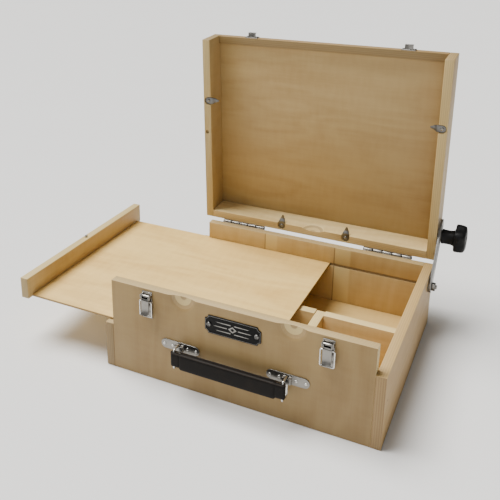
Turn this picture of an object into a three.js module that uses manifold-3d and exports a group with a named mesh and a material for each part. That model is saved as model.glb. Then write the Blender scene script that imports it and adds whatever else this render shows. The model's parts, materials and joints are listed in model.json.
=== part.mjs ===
// A plywood paint box for outdoor painting: a deep tray with a sliding palette, and a lid that
// opens to hold the panel being painted. Millimetres, +Z up. The origin is the middle of the
// underside, +X points to the right-hand side and +Y to the hinged back.
import * as THREE from 'three';
import { mergeVertices } from 'three/addons/utils/BufferGeometryUtils.js';
import Module from 'manifold-3d';

const wasm = await Module();
wasm.setup();

// ---- driving dimensions -------------------------------------------------------------------
const BOX_WIDTH = 370; // outside, along X
const BOX_DEPTH = 298; // outside, along Y
const PLY = 12; // frame plywood of the tray and the lid
const BOTTOM_PLY = 6;
const SIDE_HEIGHT = 96; // right side and back of the tray
const LEFT_HEIGHT = 65; // left side, cut down so that the palette can slide out over it
const FRONT_HEIGHT = 130;
const GLUE_GAP = 0.3; // between two glued faces

const PALETTE_PLY = 3.2;
const PALETTE_OUT = 141.5; // how far the palette stands out to the left at rest
const GROOVE_DEPTH = 4; // grooves that carry the palette
const SLIDE_GAP = 0.4; // clearance above, below and beside the sliding palette
const DIVIDER_DROP = 2; // the dividers stop this far under the palette
const LONG_DIVIDER_Y = 2; // middle of the divider that runs across the tray
const CROSS_DIVIDER_X = 62.5; // middle of the divider between it and the front
const CROSS_DROP = 1.4; // the cross divider is a little lower than the long one
const PIN_RADIUS = 2.2; // locating pin on the palette's end rail
const PIN_HEIGHT = 4;
const PIN_INSET = 5; // from the end rail's outer face
const PIN_GAP = 0.6;

const SCOOP_RADIUS = 19; // finger scoops, dished into an edge of the plywood
const SCOOP_DEPTH = 4.2;
const SCOOP_X = [-69, 75]; // in the top edge of the tray's front

const LID_DEPTH = 45;
const LID_PLY = 6; // the lid's big panel
const RABBET = 6; // how far that panel is let into the lid's frame
const RIM_GAP = 0.4; // between the closed lid and the tray
const FRONT_GAP = 0.6; // between the lid's front rail and the tray's front
const LID_OPEN_DEGREES = 87;

const HINGE_X = 117; // middle of each hinge, either side of the centre
const HINGE_LENGTH = 72;
const HINGE_KNUCKLES = 5;
const HINGE_RADIUS = 2.9;
const HINGE_PIN_RADIUS = 1.3;
const HINGE_BACK = 3.8; // hinge axis behind the rear face
const LEAF_WIDTH = 19; // from the hinge axis to the leaf's edge
const LEAF_THICKNESS = 1.4;
const RUNNING_GAP = 0.25; // radial, a pin in its bore
const METAL_GAP = 0.15; // a fitting and the wood that it's screwed to
const KNUCKLE_GAP = 0.4;

const STAY_RADIUS = 41; // hinge axis to the stay's pivot, and to the knob
const STAY_PIVOT_ANGLE = 28; // degrees below level, seen from the hinge axis
const STAY_KNOB_ANGLE = 17; // degrees above level with the lid closed
const STAY_WIDTH = 18;
const STAY_THICKNESS = 3;
const STAY_TIP = 91; // pivot to the middle of the stay's round upper end
const SLOT_END = 2.5; // the slot's round end stops this far short of it
const STAY_SPACER = 1.2;
const SLOT_SPARE = 4; // slot beyond the knob's travel, at the lower end
const SLOT_CLEARANCE = 0.5;
const BOLT_RADIUS = 3;
const BOLT_HEAD_RADIUS = 7.5;
const BOLT_HEAD_HEIGHT = 2.8;
const NUT_RADIUS = 6;
const NUT_HEIGHT = 5;
const SPACER_RADIUS = 9;
const WASHER_RADIUS = 8.5;
const WASHER_THICKNESS = 1;
const INSERT_RADIUS = 5.2;
const KNOB_HUB_RADIUS = 11;
const KNOB_HUB_LENGTH = 17;
const KNOB_HEAD_RADIUS = 19.5;
const KNOB_HEAD_LENGTH = 17;
const KNOB_LOBES = 5;
const KNOB_LOBE_DEPTH = 2.6;

const LATCH_X = 118.5; // middle of each latch, either side of the centre
const LATCH_WIDTH = 14;
const LATCH_TOP = 127;
const LATCH_HEIGHT = 37;
const LATCH_PLY = 1.2; // sheet thickness of the latch's pieces
const LEVER_WIDTH = 10.6;
const LEVER_PIVOT_Z = 121.8;
const LEVER_PIVOT_OUT = 4.6; // in front of the tray's face
const LEVER_CURL = 2.6;
const LEVER_END_Z = 97.5;
const LEVER_FLARE = 3.4;
const LEVER_PIN_RADIUS = 1.2;
const BAIL_PIVOT_Z = 115.5;
const BAIL_PIVOT_OUT = 5.3;
const BAIL_WIRE = 0.9;
const BAIL_HALF_WIDTH = 8.4;
const BAIL_LENGTH = 21;
const KEEPER_WIDTH = 20;
const KEEPER_HOOK_WIDTH = 12;
const KEEPER_LIP_OUT = 7.6;

const HANDLE_Z = 60; // height of the handle's mounting plates
const HANDLE_SPAN = 143.4; // between the two plates' middles
const HANDLE_PLATE = [54, 13, 1.4]; // length, height, thickness
const STAPLE = [11, 6.6, 8]; // width, stand-off, height of the plate's bridge
const RING_WIRE = 1.3;
const RING_IN = 3.4; // the ring's inner bar, in front of the tray's face
const RING_OUT = 18.5; // the ring's outer bar
const RING_HEIGHT = 26;
const GRIP_HEIGHT = 22.4;
const GRIP_THICKNESS = 7.6;
const GRIP_GAP = 0.4;

const NAMEPLATE = [74, 25, 1.2]; // width, height, thickness
const NAMEPLATE_Z = 105;
const NAMEPLATE_SCALLOP = 4.5;
const NAMEPLATE_SCREW_X = 31.5;
const NAMEPLATE_SCREW_RADIUS = 3;

const CLIP_FROM_HINGE = 201; // side clips, along the lid from the hinged edge
const CLIP_X = 52; // hinge-rail clips, either side of the centre
const CLIP_INSET = 4.6; // screw to the frame's inner edge
const CLIP_REACH = 16.5; // screw to the tip of the tongue
const CLIP_ROOT_RADIUS = 5.2;
const CLIP_TIP_RADIUS = 1.4;
const CLIP_SHOULDER = 6.5; // screw to where the tongue starts to taper
const CLIP_THICKNESS = 1.2;
const CLIP_STEP = 3.4; // the tongue steps back this far, against the painting panel
const CLIP_POCKET_DEPTH = 3.2;
const CLIP_SCREW_RADIUS = 1.5;
const CLIP_SCREW_HEAD = 2.6;

// ---- values that follow from them -----------------------------------------------------------
const LEFT = -BOX_WIDTH / 2;
const RIGHT = BOX_WIDTH / 2;
const FRONT = -BOX_DEPTH / 2;
const BACK = BOX_DEPTH / 2;
const INNER_LEFT = LEFT + PLY;
const INNER_RIGHT = RIGHT - PLY;
const INNER_FRONT = FRONT + PLY;
const INNER_BACK = BACK - PLY;
const PALETTE_BOTTOM = LEFT_HEIGHT + SLIDE_GAP;
const PALETTE_TOP = PALETTE_BOTTOM + PALETTE_PLY;
const DIVIDER_TOP = PALETTE_BOTTOM - DIVIDER_DROP;
const RIM_Z = SIDE_HEIGHT + RIM_GAP;
const LID_TOP = RIM_Z + LID_DEPTH;
const FRONT_RAIL_Z = FRONT_HEIGHT + FRONT_GAP;
const HINGE_AXIS = { y: BACK + HINGE_BACK, z: SIDE_HEIGHT + RIM_GAP / 2 };

const degrees = THREE.MathUtils.degToRad;

// ---- finishes -------------------------------------------------------------------------------
const finish = (color, roughness, metalness) => ({ color, roughness, metalness });
const BIRCH = finish(0xcdb18a, 0.6, 0);
const LIGHT_BIRCH = finish(0xdac39a, 0.55, 0);
const NICKEL = finish(0xc4c2bc, 0.3, 1);
const STEEL = finish(0xa9a9a6, 0.4, 1);
const BLACK_PLASTIC = finish(0x161616, 0.5, 0);
const BLACK_LEATHER = finish(0x1d1916, 0.6, 0);
const BLACK_ENAMEL = finish(0x101010, 0.35, 0.2);
const BRASS = finish(0xb08d4c, 0.4, 1);

// ---- shape helpers --------------------------------------------------------------------------
function solid(geometry) {
  const bare = geometry.clone();
  bare.deleteAttribute('normal');
  bare.deleteAttribute('uv');
  const merged = mergeVertices(bare, 1e-4);
  return new wasm.Manifold(new wasm.Mesh({
    numProp: 3,
    vertProperties: new Float32Array(merged.attributes.position.array),
    triVerts: new Uint32Array(merged.index.array),
  }));
}

function geometryOf(manifold) {
  const mesh = manifold.getMesh();
  const geometry = new THREE.BufferGeometry();
  geometry.setAttribute('position', new THREE.BufferAttribute(mesh.vertProperties, 3));
  geometry.setIndex(new THREE.BufferAttribute(mesh.triVerts, 1));
  return geometry;
}

// A lens-shaped cutter, flat in the XY plane and bulging to +Z by depth.
function dish(radius, depth) {
  const ball = (radius * radius + depth * depth) / (2 * depth);
  const sweep = Math.asin(radius / ball);
  const rings = 9;
  const profile = [[0, -depth], [radius, -depth]];
  for (let i = rings; i >= 0; i -= 1) {
    const a = (i / rings) * sweep;
    profile.push([i === 0 ? 0 : ball * Math.sin(a), depth - ball * (1 - Math.cos(a))]);
  }
  return turned(profile, 48);
}

const union = (pieces) => pieces.reduce((whole, piece) => whole.add(piece));
const cut = (body, tools) => tools.reduce((rest, tool) => rest.subtract(tool), body);

// A block between two corners.
function block([x0, y0, z0], [x1, y1, z1]) {
  const geometry = new THREE.BoxGeometry(x1 - x0, y1 - y0, z1 - z0);
  geometry.translate((x0 + x1) / 2, (y0 + y1) / 2, (z0 + z1) / 2);
  return solid(geometry);
}

// A round bar between two points.
function bar(start, end, radius, sides = 24) {
  const a = new THREE.Vector3(...start);
  const b = new THREE.Vector3(...end);
  const direction = b.clone().sub(a);
  const geometry = new THREE.CylinderGeometry(radius, radius, direction.length(), sides);
  const turn = new THREE.Quaternion();
  turn.setFromUnitVectors(new THREE.Vector3(0, 1, 0), direction.clone().normalize());
  geometry.applyQuaternion(turn);
  geometry.translate(...a.add(b).multiplyScalar(0.5).toArray());
  return solid(geometry);
}

// A bar along X, given by its middle and its length.
const barX = ([x, y, z], length, radius, sides = 24) =>
  bar([x - length / 2, y, z], [x + length / 2, y, z], radius, sides);

// Round wire through the points, back to the first one.
function wireLoop(points, radius) {
  const pieces = points.map((point, i) => {
    const ball = new THREE.SphereGeometry(radius, 12, 8);
    ball.translate(...point);
    const rod = bar(point, points[(i + 1) % points.length], radius, 12);
    return solid(ball).add(rod);
  });
  return union(pieces);
}

// An outline in the plane across X, as [y, z] pairs, made a slab from x0 to x1.
function slabAcrossX(outline, x0, x1) {
  const shape = new THREE.Shape(outline.map(([y, z]) => new THREE.Vector2(y, z)));
  const geometry = new THREE.ExtrudeGeometry(shape, { depth: x1 - x0, bevelEnabled: false });
  const toWorld = new THREE.Matrix4().makeBasis(
    new THREE.Vector3(0, 1, 0), new THREE.Vector3(0, 0, 1), new THREE.Vector3(1, 0, 0));
  geometry.applyMatrix4(toWorld);
  geometry.translate(x0, 0, 0);
  return solid(geometry);
}

// A shape drawn facing forwards, X to the right and Y up, made a slab that stands out by depth
// from the plane y, towards the front.
function slabOnFront(shape, y, depth, curveSegments = 12) {
  const geometry = new THREE.ExtrudeGeometry(shape, { depth, bevelEnabled: false, curveSegments });
  geometry.rotateX(Math.PI / 2);
  geometry.translate(0, y, 0);
  return solid(geometry);
}

// A slot-shaped outline with round ends, centred on (x, y).
function stadium(x, y, length, height) {
  const r = height / 2;
  const reach = length / 2 - r;
  const shape = new THREE.Shape();
  shape.moveTo(x - reach, y - r);
  shape.lineTo(x + reach, y - r);
  shape.absarc(x + reach, y, r, -Math.PI / 2, Math.PI / 2, false);
  shape.lineTo(x - reach, y + r);
  shape.absarc(x - reach, y, r, Math.PI / 2, 1.5 * Math.PI, false);
  return shape;
}

// A turned piece: [radius, height] pairs about the Z axis, from the axis back to the axis.
function turned(profile, sides = 24) {
  const points = profile.map(([r, h]) => new THREE.Vector2(r, h));
  const geometry = new THREE.LatheGeometry(points, sides);
  geometry.rotateX(Math.PI / 2);
  return solid(geometry);
}

function domedHead(radius, height, shank, shankLength) {
  const steps = 5;
  const dome = [];
  for (let i = 0; i <= steps; i += 1) {
    const a = (i / steps) * (Math.PI / 2);
    dome.push([i === steps ? 0 : radius * Math.cos(a), height * Math.sin(a)]);
  }
  return turned([[0, -shankLength], [shank, -shankLength], [shank, 0], ...dome]);
}

// ---- the scene ------------------------------------------------------------------------------
const easel = new THREE.Group();

function add(group, name, body, look) {
  const mesh = new THREE.Mesh(geometryOf(body), new THREE.MeshStandardMaterial(look));
  mesh.name = name;
  group.add(mesh);
}

// ---- tray -----------------------------------------------------------------------------------
const grooveBottom = PALETTE_BOTTOM - SLIDE_GAP;
const grooveTop = PALETTE_TOP + SLIDE_GAP;

function trayFront() {
  const panel = block([INNER_LEFT + GLUE_GAP, FRONT, 0],
    [INNER_RIGHT - GLUE_GAP, INNER_FRONT, FRONT_HEIGHT]);
  const groove = block([LEFT, INNER_FRONT - GROOVE_DEPTH, grooveBottom],
    [RIGHT, INNER_FRONT + PLY, grooveTop]);
  const scoops = SCOOP_X.map((x) => dish(SCOOP_RADIUS, SCOOP_DEPTH).rotate([-90, 0, 0])
    .translate([x, FRONT, FRONT_HEIGHT]));
  return cut(panel, [groove, ...scoops]);
}

function trayBack() {
  const panel = block([INNER_LEFT + GLUE_GAP, INNER_BACK, 0],
    [INNER_RIGHT - GLUE_GAP, BACK, SIDE_HEIGHT]);
  const groove = block([LEFT, INNER_BACK - PLY, grooveBottom],
    [RIGHT, INNER_BACK + GROOVE_DEPTH, grooveTop]);
  return cut(panel, [groove]);
}

function trayRight() {
  const panel = block([INNER_RIGHT, FRONT, 0], [RIGHT, BACK, SIDE_HEIGHT]);
  const groove = block([INNER_RIGHT - PLY, INNER_FRONT - GROOVE_DEPTH, grooveBottom],
    [INNER_RIGHT + GROOVE_DEPTH, INNER_BACK + GROOVE_DEPTH, grooveTop]);
  const boltHole = barX([(INNER_RIGHT + RIGHT) / 2, stayPivot.y, stayPivot.z], 2 * PLY,
    BOLT_RADIUS + RUNNING_GAP);
  return cut(panel, [groove, boltHole]);
}

function longDivider() {
  const y0 = LONG_DIVIDER_Y - PLY / 2;
  const y1 = LONG_DIVIDER_Y + PLY / 2;
  const board = block([INNER_LEFT + GLUE_GAP, y0, BOTTOM_PLY + GLUE_GAP],
    [INNER_RIGHT - GLUE_GAP, y1, DIVIDER_TOP]);
  const notch = block([CROSS_DIVIDER_X - PLY / 2 - GLUE_GAP, y0 - PLY, DIVIDER_TOP / 2],
    [CROSS_DIVIDER_X + PLY / 2 + GLUE_GAP, y1 + PLY, SIDE_HEIGHT]);
  return cut(board, [notch]);
}

function crossDivider() {
  const y1 = LONG_DIVIDER_Y + PLY / 2;
  const board = block([CROSS_DIVIDER_X - PLY / 2, INNER_FRONT + GLUE_GAP, BOTTOM_PLY + GLUE_GAP],
    [CROSS_DIVIDER_X + PLY / 2, y1, DIVIDER_TOP - CROSS_DROP]);
  const halving = block([CROSS_DIVIDER_X - PLY, LONG_DIVIDER_Y - PLY / 2 - GLUE_GAP, 0],
    [CROSS_DIVIDER_X + PLY, y1 + PLY, DIVIDER_TOP / 2 + GLUE_GAP]);
  return cut(board, [halving]);
}

// The stay's pivot and the knob stand the same distance from the hinge axis, so the stay turns
// through exactly half the lid's angle and the knob keeps to the middle of its slot.
const stayPivot = {
  y: HINGE_AXIS.y - STAY_RADIUS * Math.cos(degrees(STAY_PIVOT_ANGLE)),
  z: HINGE_AXIS.z - STAY_RADIUS * Math.sin(degrees(STAY_PIVOT_ANGLE)),
};
const knobClosed = {
  y: HINGE_AXIS.y - STAY_RADIUS * Math.cos(degrees(STAY_KNOB_ANGLE)),
  z: HINGE_AXIS.z + STAY_RADIUS * Math.sin(degrees(STAY_KNOB_ANGLE)),
};

add(easel, 'base_front_panel', trayFront(), BIRCH);
add(easel, 'base_back_panel', trayBack(), BIRCH);
add(easel, 'base_left_side', block([LEFT, FRONT, 0], [INNER_LEFT, BACK, LEFT_HEIGHT]), BIRCH);
add(easel, 'base_right_side', trayRight(), BIRCH);
add(easel, 'base_bottom_panel', block(
  [INNER_LEFT + GLUE_GAP, INNER_FRONT + GLUE_GAP, 0],
  [INNER_RIGHT - GLUE_GAP, INNER_BACK - GLUE_GAP, BOTTOM_PLY]), LIGHT_BIRCH);
add(easel, 'long_divider', longDivider(), BIRCH);
add(easel, 'cross_divider', crossDivider(), BIRCH);

// ---- palette, drawn pushed in, then slid out to the left --------------------------------------
const palette = new THREE.Group();
palette.position.x = -PALETTE_OUT;
easel.add(palette);

function paletteBoard() {
  const reach = GROOVE_DEPTH - SLIDE_GAP;
  return block([INNER_LEFT + GLUE_GAP, INNER_FRONT - reach, PALETTE_BOTTOM],
    [INNER_RIGHT + reach - SLIDE_GAP, INNER_BACK + reach, PALETTE_TOP]);
}

function paletteCleat() {
  const rail = block([LEFT, FRONT, PALETTE_BOTTOM], [INNER_LEFT, BACK, SIDE_HEIGHT]);
  const hole = bar([LEFT + PIN_INSET, 0, SIDE_HEIGHT - PIN_HEIGHT],
    [LEFT + PIN_INSET, 0, SIDE_HEIGHT + PIN_HEIGHT], PIN_RADIUS + RUNNING_GAP);
  return cut(rail, [hole]);
}

function palettePin() {
  const shank = 2 * PIN_HEIGHT - PIN_RADIUS - GLUE_GAP;
  const pin = domedHead(PIN_RADIUS, PIN_RADIUS, PIN_RADIUS, shank);
  return pin.translate([LEFT + PIN_INSET, 0, SIDE_HEIGHT + PIN_HEIGHT - PIN_RADIUS]);
}

add(palette, 'palette_board', paletteBoard(), LIGHT_BIRCH);
add(palette, 'palette_cleat', paletteCleat(), BIRCH);
add(palette, 'palette_pin', palettePin(), STEEL);

// ---- lid, drawn closed, then opened about the hinge axis ---------------------------------------
const lidPivot = new THREE.Group();
lidPivot.position.set(0, HINGE_AXIS.y, HINGE_AXIS.z);
lidPivot.rotation.x = -degrees(LID_OPEN_DEGREES);
easel.add(lidPivot);
const lid = new THREE.Group();
lid.position.set(0, -HINGE_AXIS.y, -HINGE_AXIS.z);
lidPivot.add(lid);

const panelBottom = LID_TOP - LID_PLY;
const panelSeat = block([INNER_LEFT - RABBET, INNER_FRONT - RABBET, panelBottom],
  [INNER_RIGHT + RABBET, INNER_BACK + RABBET, LID_TOP + PLY]);

// Where the four clips' screws stand, and which way each tongue points.
const clips = [
  { name: 'left', x: INNER_LEFT - CLIP_INSET, y: BACK - CLIP_FROM_HINGE, turn: 0 },
  { name: 'right', x: INNER_RIGHT + CLIP_INSET, y: BACK - CLIP_FROM_HINGE, turn: 180 },
  { name: 'low_left', x: -CLIP_X, y: INNER_BACK + CLIP_INSET, turn: -90 },
  { name: 'low_right', x: CLIP_X, y: INNER_BACK + CLIP_INSET, turn: -90 },
];

// The pocket under a clip, open to the lid's inside, with the screw's pilot hole.
function clipPocket(clip) {
  const reach = CLIP_ROOT_RADIUS + 1;
  const root = bar([0, 0, -PLY], [0, 0, CLIP_POCKET_DEPTH], reach);
  const mouth = block([0, -reach, -PLY], [PLY, reach, CLIP_POCKET_DEPTH]);
  const pilot = bar([0, 0, 0], [0, 0, 3 * CLIP_POCKET_DEPTH], CLIP_SCREW_RADIUS + RUNNING_GAP, 12);
  return placeClip(union([root, mouth, pilot]), clip);
}

function placeClip(body, clip) {
  return body.rotate([0, 0, clip.turn]).translate([clip.x, clip.y, RIM_Z]);
}

const pockets = clips.map(clipPocket);

function lidLeft() {
  const side = block([LEFT, FRONT, RIM_Z], [INNER_LEFT, BACK, LID_TOP]);
  const pinHole = bar([LEFT + PIN_INSET, 0, RIM_Z - PIN_HEIGHT],
    [LEFT + PIN_INSET, 0, RIM_Z + PIN_HEIGHT], PIN_RADIUS + PIN_GAP);
  return cut(side, [panelSeat, pinHole, pockets[0]]);
}

function lidRight() {
  const side = block([INNER_RIGHT, FRONT, RIM_Z], [RIGHT, BACK, LID_TOP]);
  const insertHole = barX([RIGHT, knobClosed.y, knobClosed.z], 2 * PLY - 4,
    INSERT_RADIUS + RUNNING_GAP);
  return cut(side, [panelSeat, insertHole, pockets[1]]);
}

function lidHingeRail() {
  const rail = block([INNER_LEFT + GLUE_GAP, INNER_BACK, RIM_Z],
    [INNER_RIGHT - GLUE_GAP, BACK, LID_TOP]);
  const scoop = dish(SCOOP_RADIUS, SCOOP_DEPTH).rotate([-90, 0, 0])
    .translate([0, INNER_BACK, RIM_Z]);
  return cut(rail, [panelSeat, pockets[2], pockets[3], scoop]);
}

function lidFrontRail() {
  const rail = block([INNER_LEFT + GLUE_GAP, FRONT, FRONT_RAIL_Z],
    [INNER_RIGHT - GLUE_GAP, INNER_FRONT, LID_TOP]);
  return cut(rail, [panelSeat]);
}

function lidPanel() {
  const reach = RABBET - GLUE_GAP;
  return block([INNER_LEFT - reach, INNER_FRONT - reach, panelBottom + GLUE_GAP],
    [INNER_RIGHT + reach, INNER_BACK + reach, LID_TOP]);
}

add(lid, 'lid_left_side', lidLeft(), BIRCH);
add(lid, 'lid_right_side', lidRight(), BIRCH);
add(lid, 'lid_hinge_rail', lidHingeRail(), BIRCH);
add(lid, 'lid_front_rail', lidFrontRail(), BIRCH);
add(lid, 'lid_panel', lidPanel(), LIGHT_BIRCH);

// ---- panel clips ------------------------------------------------------------------------------
// Drawn about the screw, tongue along +X, with the lid's inside towards +Z.
function clipPlate() {
  const low = CLIP_POCKET_DEPTH - METAL_GAP;
  const high = low - CLIP_THICKNESS;
  const bend = CLIP_ROOT_RADIUS + 1.4;
  const ramp = bend + CLIP_STEP;
  const side = new THREE.Shape([[-CLIP_ROOT_RADIUS, low], [bend, low], [ramp, low + CLIP_STEP],
    [CLIP_REACH, low + CLIP_STEP], [CLIP_REACH, high + CLIP_STEP],
    [ramp + 0.5, high + CLIP_STEP], [bend + 0.5, high], [-CLIP_ROOT_RADIUS, high],
  ].map(([x, z]) => new THREE.Vector2(x, z)));
  const strip = new THREE.ExtrudeGeometry(side, { depth: 2 * CLIP_REACH, bevelEnabled: false });
  strip.rotateX(Math.PI / 2);
  strip.translate(0, CLIP_REACH, 0);
  const tipX = CLIP_REACH - CLIP_TIP_RADIUS;
  const plan = new THREE.Shape();
  plan.absarc(0, 0, CLIP_ROOT_RADIUS, Math.PI / 2, 1.5 * Math.PI, false);
  plan.lineTo(CLIP_SHOULDER, -CLIP_ROOT_RADIUS);
  plan.absarc(tipX, 0, CLIP_TIP_RADIUS, -Math.PI / 2, Math.PI / 2, false);
  plan.lineTo(CLIP_SHOULDER, CLIP_ROOT_RADIUS);
  const outline = new THREE.ExtrudeGeometry(plan,
    { depth: 2 * CLIP_REACH, bevelEnabled: false, curveSegments: 16 });
  outline.translate(0, 0, -CLIP_REACH);
  const hole = bar([0, 0, -PLY], [0, 0, PLY], CLIP_SCREW_RADIUS + RUNNING_GAP, 16);
  return solid(strip).intersect(solid(outline)).subtract(hole);
}

function clipScrew() {
  const seat = CLIP_POCKET_DEPTH - METAL_GAP - CLIP_THICKNESS - METAL_GAP;
  const height = seat - METAL_GAP;
  const screw = domedHead(CLIP_SCREW_HEAD, height, CLIP_SCREW_RADIUS, 2.4 * CLIP_POCKET_DEPTH);
  return screw.rotate([180, 0, 0]).translate([0, 0, seat]);
}

for (const clip of clips) {
  add(lid, `panel_clip_${clip.name}`, placeClip(clipPlate(), clip), STEEL);
  add(lid, `clip_screw_${clip.name}`, placeClip(clipScrew(), clip), STEEL);
}

// ---- hinges -----------------------------------------------------------------------------------
const knuckleLength = HINGE_LENGTH / HINGE_KNUCKLES;

// One leaf with its own knuckles; sign is -1 for the tray's leaf and +1 for the lid's.
function hingeLeaf(x, sign) {
  const { y, z } = HINGE_AXIS;
  const inner = BACK + METAL_GAP;
  const plate = block([x - HINGE_LENGTH / 2, inner, Math.min(z, z + sign * LEAF_WIDTH)],
    [x + HINGE_LENGTH / 2, inner + LEAF_THICKNESS, Math.max(z, z + sign * LEAF_WIDTH)]);
  const own = [];
  const others = [];
  for (let i = 0; i < HINGE_KNUCKLES; i += 1) {
    const middle = [x - HINGE_LENGTH / 2 + (i + 0.5) * knuckleLength, y, z];
    const mine = (i % 2 === 0) === (sign < 0);
    if (mine) own.push(barX(middle, knuckleLength - KNUCKLE_GAP, HINGE_RADIUS));
    else others.push(barX(middle, knuckleLength + KNUCKLE_GAP, HINGE_RADIUS + KNUCKLE_GAP));
  }
  const bore = barX([x, y, z], 2 * HINGE_LENGTH, HINGE_PIN_RADIUS + RUNNING_GAP, 20);
  return cut(union([cut(plate, others), ...own]), [bore]);
}

for (const [side, x] of [['left', -HINGE_X], ['right', HINGE_X]]) {
  const middle = [x, HINGE_AXIS.y, HINGE_AXIS.z];
  add(easel, `hinge_${side}_base_leaf`, hingeLeaf(x, -1), NICKEL);
  add(lid, `hinge_${side}_lid_leaf`, hingeLeaf(x, 1), NICKEL);
  add(easel, `hinge_${side}_pin`, barX(middle, HINGE_LENGTH + 1, HINGE_PIN_RADIUS, 20), NICKEL);
}

// ---- lid stay ---------------------------------------------------------------------------------
const opened = (point, angle) => {
  const y = point.y - HINGE_AXIS.y;
  const z = point.z - HINGE_AXIS.z;
  const a = -degrees(angle);
  return {
    y: HINGE_AXIS.y + y * Math.cos(a) - z * Math.sin(a),
    z: HINGE_AXIS.z + y * Math.sin(a) + z * Math.cos(a),
  };
};
const knobOpen = opened(knobClosed, LID_OPEN_DEGREES);
const closedReach = Math.hypot(knobClosed.y - stayPivot.y, knobClosed.z - stayPivot.z);
const stayInner = RIGHT + METAL_GAP + STAY_SPACER + METAL_GAP;
const stayOuter = stayInner + STAY_THICKNESS;

// Drawn upright above the pivot, then turned about X to point at the knob.
const stay = new THREE.Group();
stay.position.set(0, stayPivot.y, stayPivot.z);
stay.rotation.x = Math.atan2(stayPivot.y - knobOpen.y, knobOpen.z - stayPivot.z);
easel.add(stay);

// A bar's outline with round ends, from height z0 to z1 on the pivot's line.
function uprightStadium(z0, z1, radius) {
  const outline = [];
  const steps = 12;
  for (let i = 0; i <= steps; i += 1) {
    const a = Math.PI + (i / steps) * Math.PI;
    outline.push([radius * Math.cos(a), z0 + radius * Math.sin(a)]);
  }
  for (let i = 0; i <= steps; i += 1) {
    const a = (i / steps) * Math.PI;
    outline.push([radius * Math.cos(a), z1 + radius * Math.sin(a)]);
  }
  return outline;
}

function stayArm() {
  const arm = slabAcrossX(uprightStadium(0, STAY_TIP, STAY_WIDTH / 2), stayInner, stayOuter);
  const slot = slabAcrossX(uprightStadium(closedReach - SLOT_SPARE,
    STAY_TIP - SLOT_END, BOLT_RADIUS + SLOT_CLEARANCE), stayInner - PLY, stayOuter + PLY);
  const pivotHole = barX([stayOuter, 0, 0], 2 * PLY, BOLT_RADIUS + RUNNING_GAP);
  return cut(arm, [slot, pivotHole]);
}

// Turned pieces drawn about Z, laid along +X from x at the given point.
const alongX = (body, x, { y, z }) => body.rotate([0, 90, 0]).translate([x, y, z]);

function ring(outer, inner, thickness, sides = 28) {
  return cut(bar([0, 0, 0], [0, 0, thickness], outer, sides),
    [bar([0, 0, -1], [0, 0, thickness + 1], inner, sides)]);
}

function pivotBolt() {
  const head = domedHead(BOLT_HEAD_RADIUS, BOLT_HEAD_HEIGHT, BOLT_HEAD_RADIUS, 0.8);
  const end = stayOuter + METAL_GAP + NUT_HEIGHT + 2;
  const shank = barX([(INNER_RIGHT - 1 + end) / 2, stayPivot.y, stayPivot.z],
    end - INNER_RIGHT + 1, BOLT_RADIUS);
  return alongX(head.rotate([180, 0, 0]), INNER_RIGHT - METAL_GAP - 0.8, stayPivot).add(shank);
}

function pivotNut() {
  const hex = cut(bar([0, 0, 0], [0, 0, NUT_HEIGHT], NUT_RADIUS, 6),
    [bar([0, 0, -1], [0, 0, NUT_HEIGHT + 1], BOLT_RADIUS + RUNNING_GAP)]);
  return alongX(hex, stayOuter + METAL_GAP, stayPivot);
}

add(stay, 'stay_arm', stayArm(), STEEL);
add(easel, 'stay_spacer', alongX(ring(SPACER_RADIUS, BOLT_RADIUS + RUNNING_GAP, STAY_SPACER),
  RIGHT + METAL_GAP, stayPivot), NICKEL);
add(easel, 'stay_pivot_bolt', pivotBolt(), NICKEL);
add(easel, 'stay_pivot_nut', pivotNut(), NICKEL);

// ---- clamping knob, on the lid ------------------------------------------------------------------
const washerStart = stayOuter + METAL_GAP;
const knobStart = washerStart + WASHER_THICKNESS + METAL_GAP;
const studStart = RIGHT - PLY + 5;

function knobInsert() {
  const sleeve = ring(INSERT_RADIUS, BOLT_RADIUS + RUNNING_GAP, PLY - 3);
  return alongX(sleeve, RIGHT - PLY + 3, knobClosed);
}

function knobHead() {
  const outline = [];
  const steps = 60;
  for (let i = 0; i < steps; i += 1) {
    const a = (i / steps) * 2 * Math.PI;
    const r = KNOB_HEAD_RADIUS + KNOB_LOBE_DEPTH * Math.cos(KNOB_LOBES * a);
    outline.push(new THREE.Vector2(r * Math.cos(a), r * Math.sin(a)));
  }
  const geometry = new THREE.ExtrudeGeometry(new THREE.Shape(outline),
    { depth: KNOB_HEAD_LENGTH - 3, bevelEnabled: true, bevelSize: 2.4, bevelThickness: 1.5,
      bevelOffset: -2.4, bevelSegments: 2 });
  geometry.translate(0, 0, KNOB_HUB_LENGTH + 1.5);
  return solid(geometry);
}

function knob() {
  const hub = bar([0, 0, 0], [0, 0, KNOB_HUB_LENGTH + 4], KNOB_HUB_RADIUS, 32);
  const bore = bar([0, 0, -1], [0, 0, KNOB_HUB_LENGTH], BOLT_RADIUS + RUNNING_GAP);
  return alongX(cut(hub.add(knobHead()), [bore]), knobStart, knobClosed);
}

function knobStud() {
  const end = knobStart + KNOB_HUB_LENGTH - 1;
  return barX([(studStart + end) / 2, knobClosed.y, knobClosed.z], end - studStart, BOLT_RADIUS);
}

add(lid, 'knob_insert', knobInsert(), BRASS);
add(lid, 'knob_stud', knobStud(), STEEL);
add(lid, 'knob_washer', alongX(ring(WASHER_RADIUS, BOLT_RADIUS + RUNNING_GAP, WASHER_THICKNESS),
  washerStart, knobClosed), NICKEL);
add(lid, 'stay_knob', knob(), BLACK_PLASTIC);

// ---- draw latches -------------------------------------------------------------------------------
const pinY = FRONT - LEVER_PIVOT_OUT;
const bailY = FRONT - BAIL_PIVOT_OUT;

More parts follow.
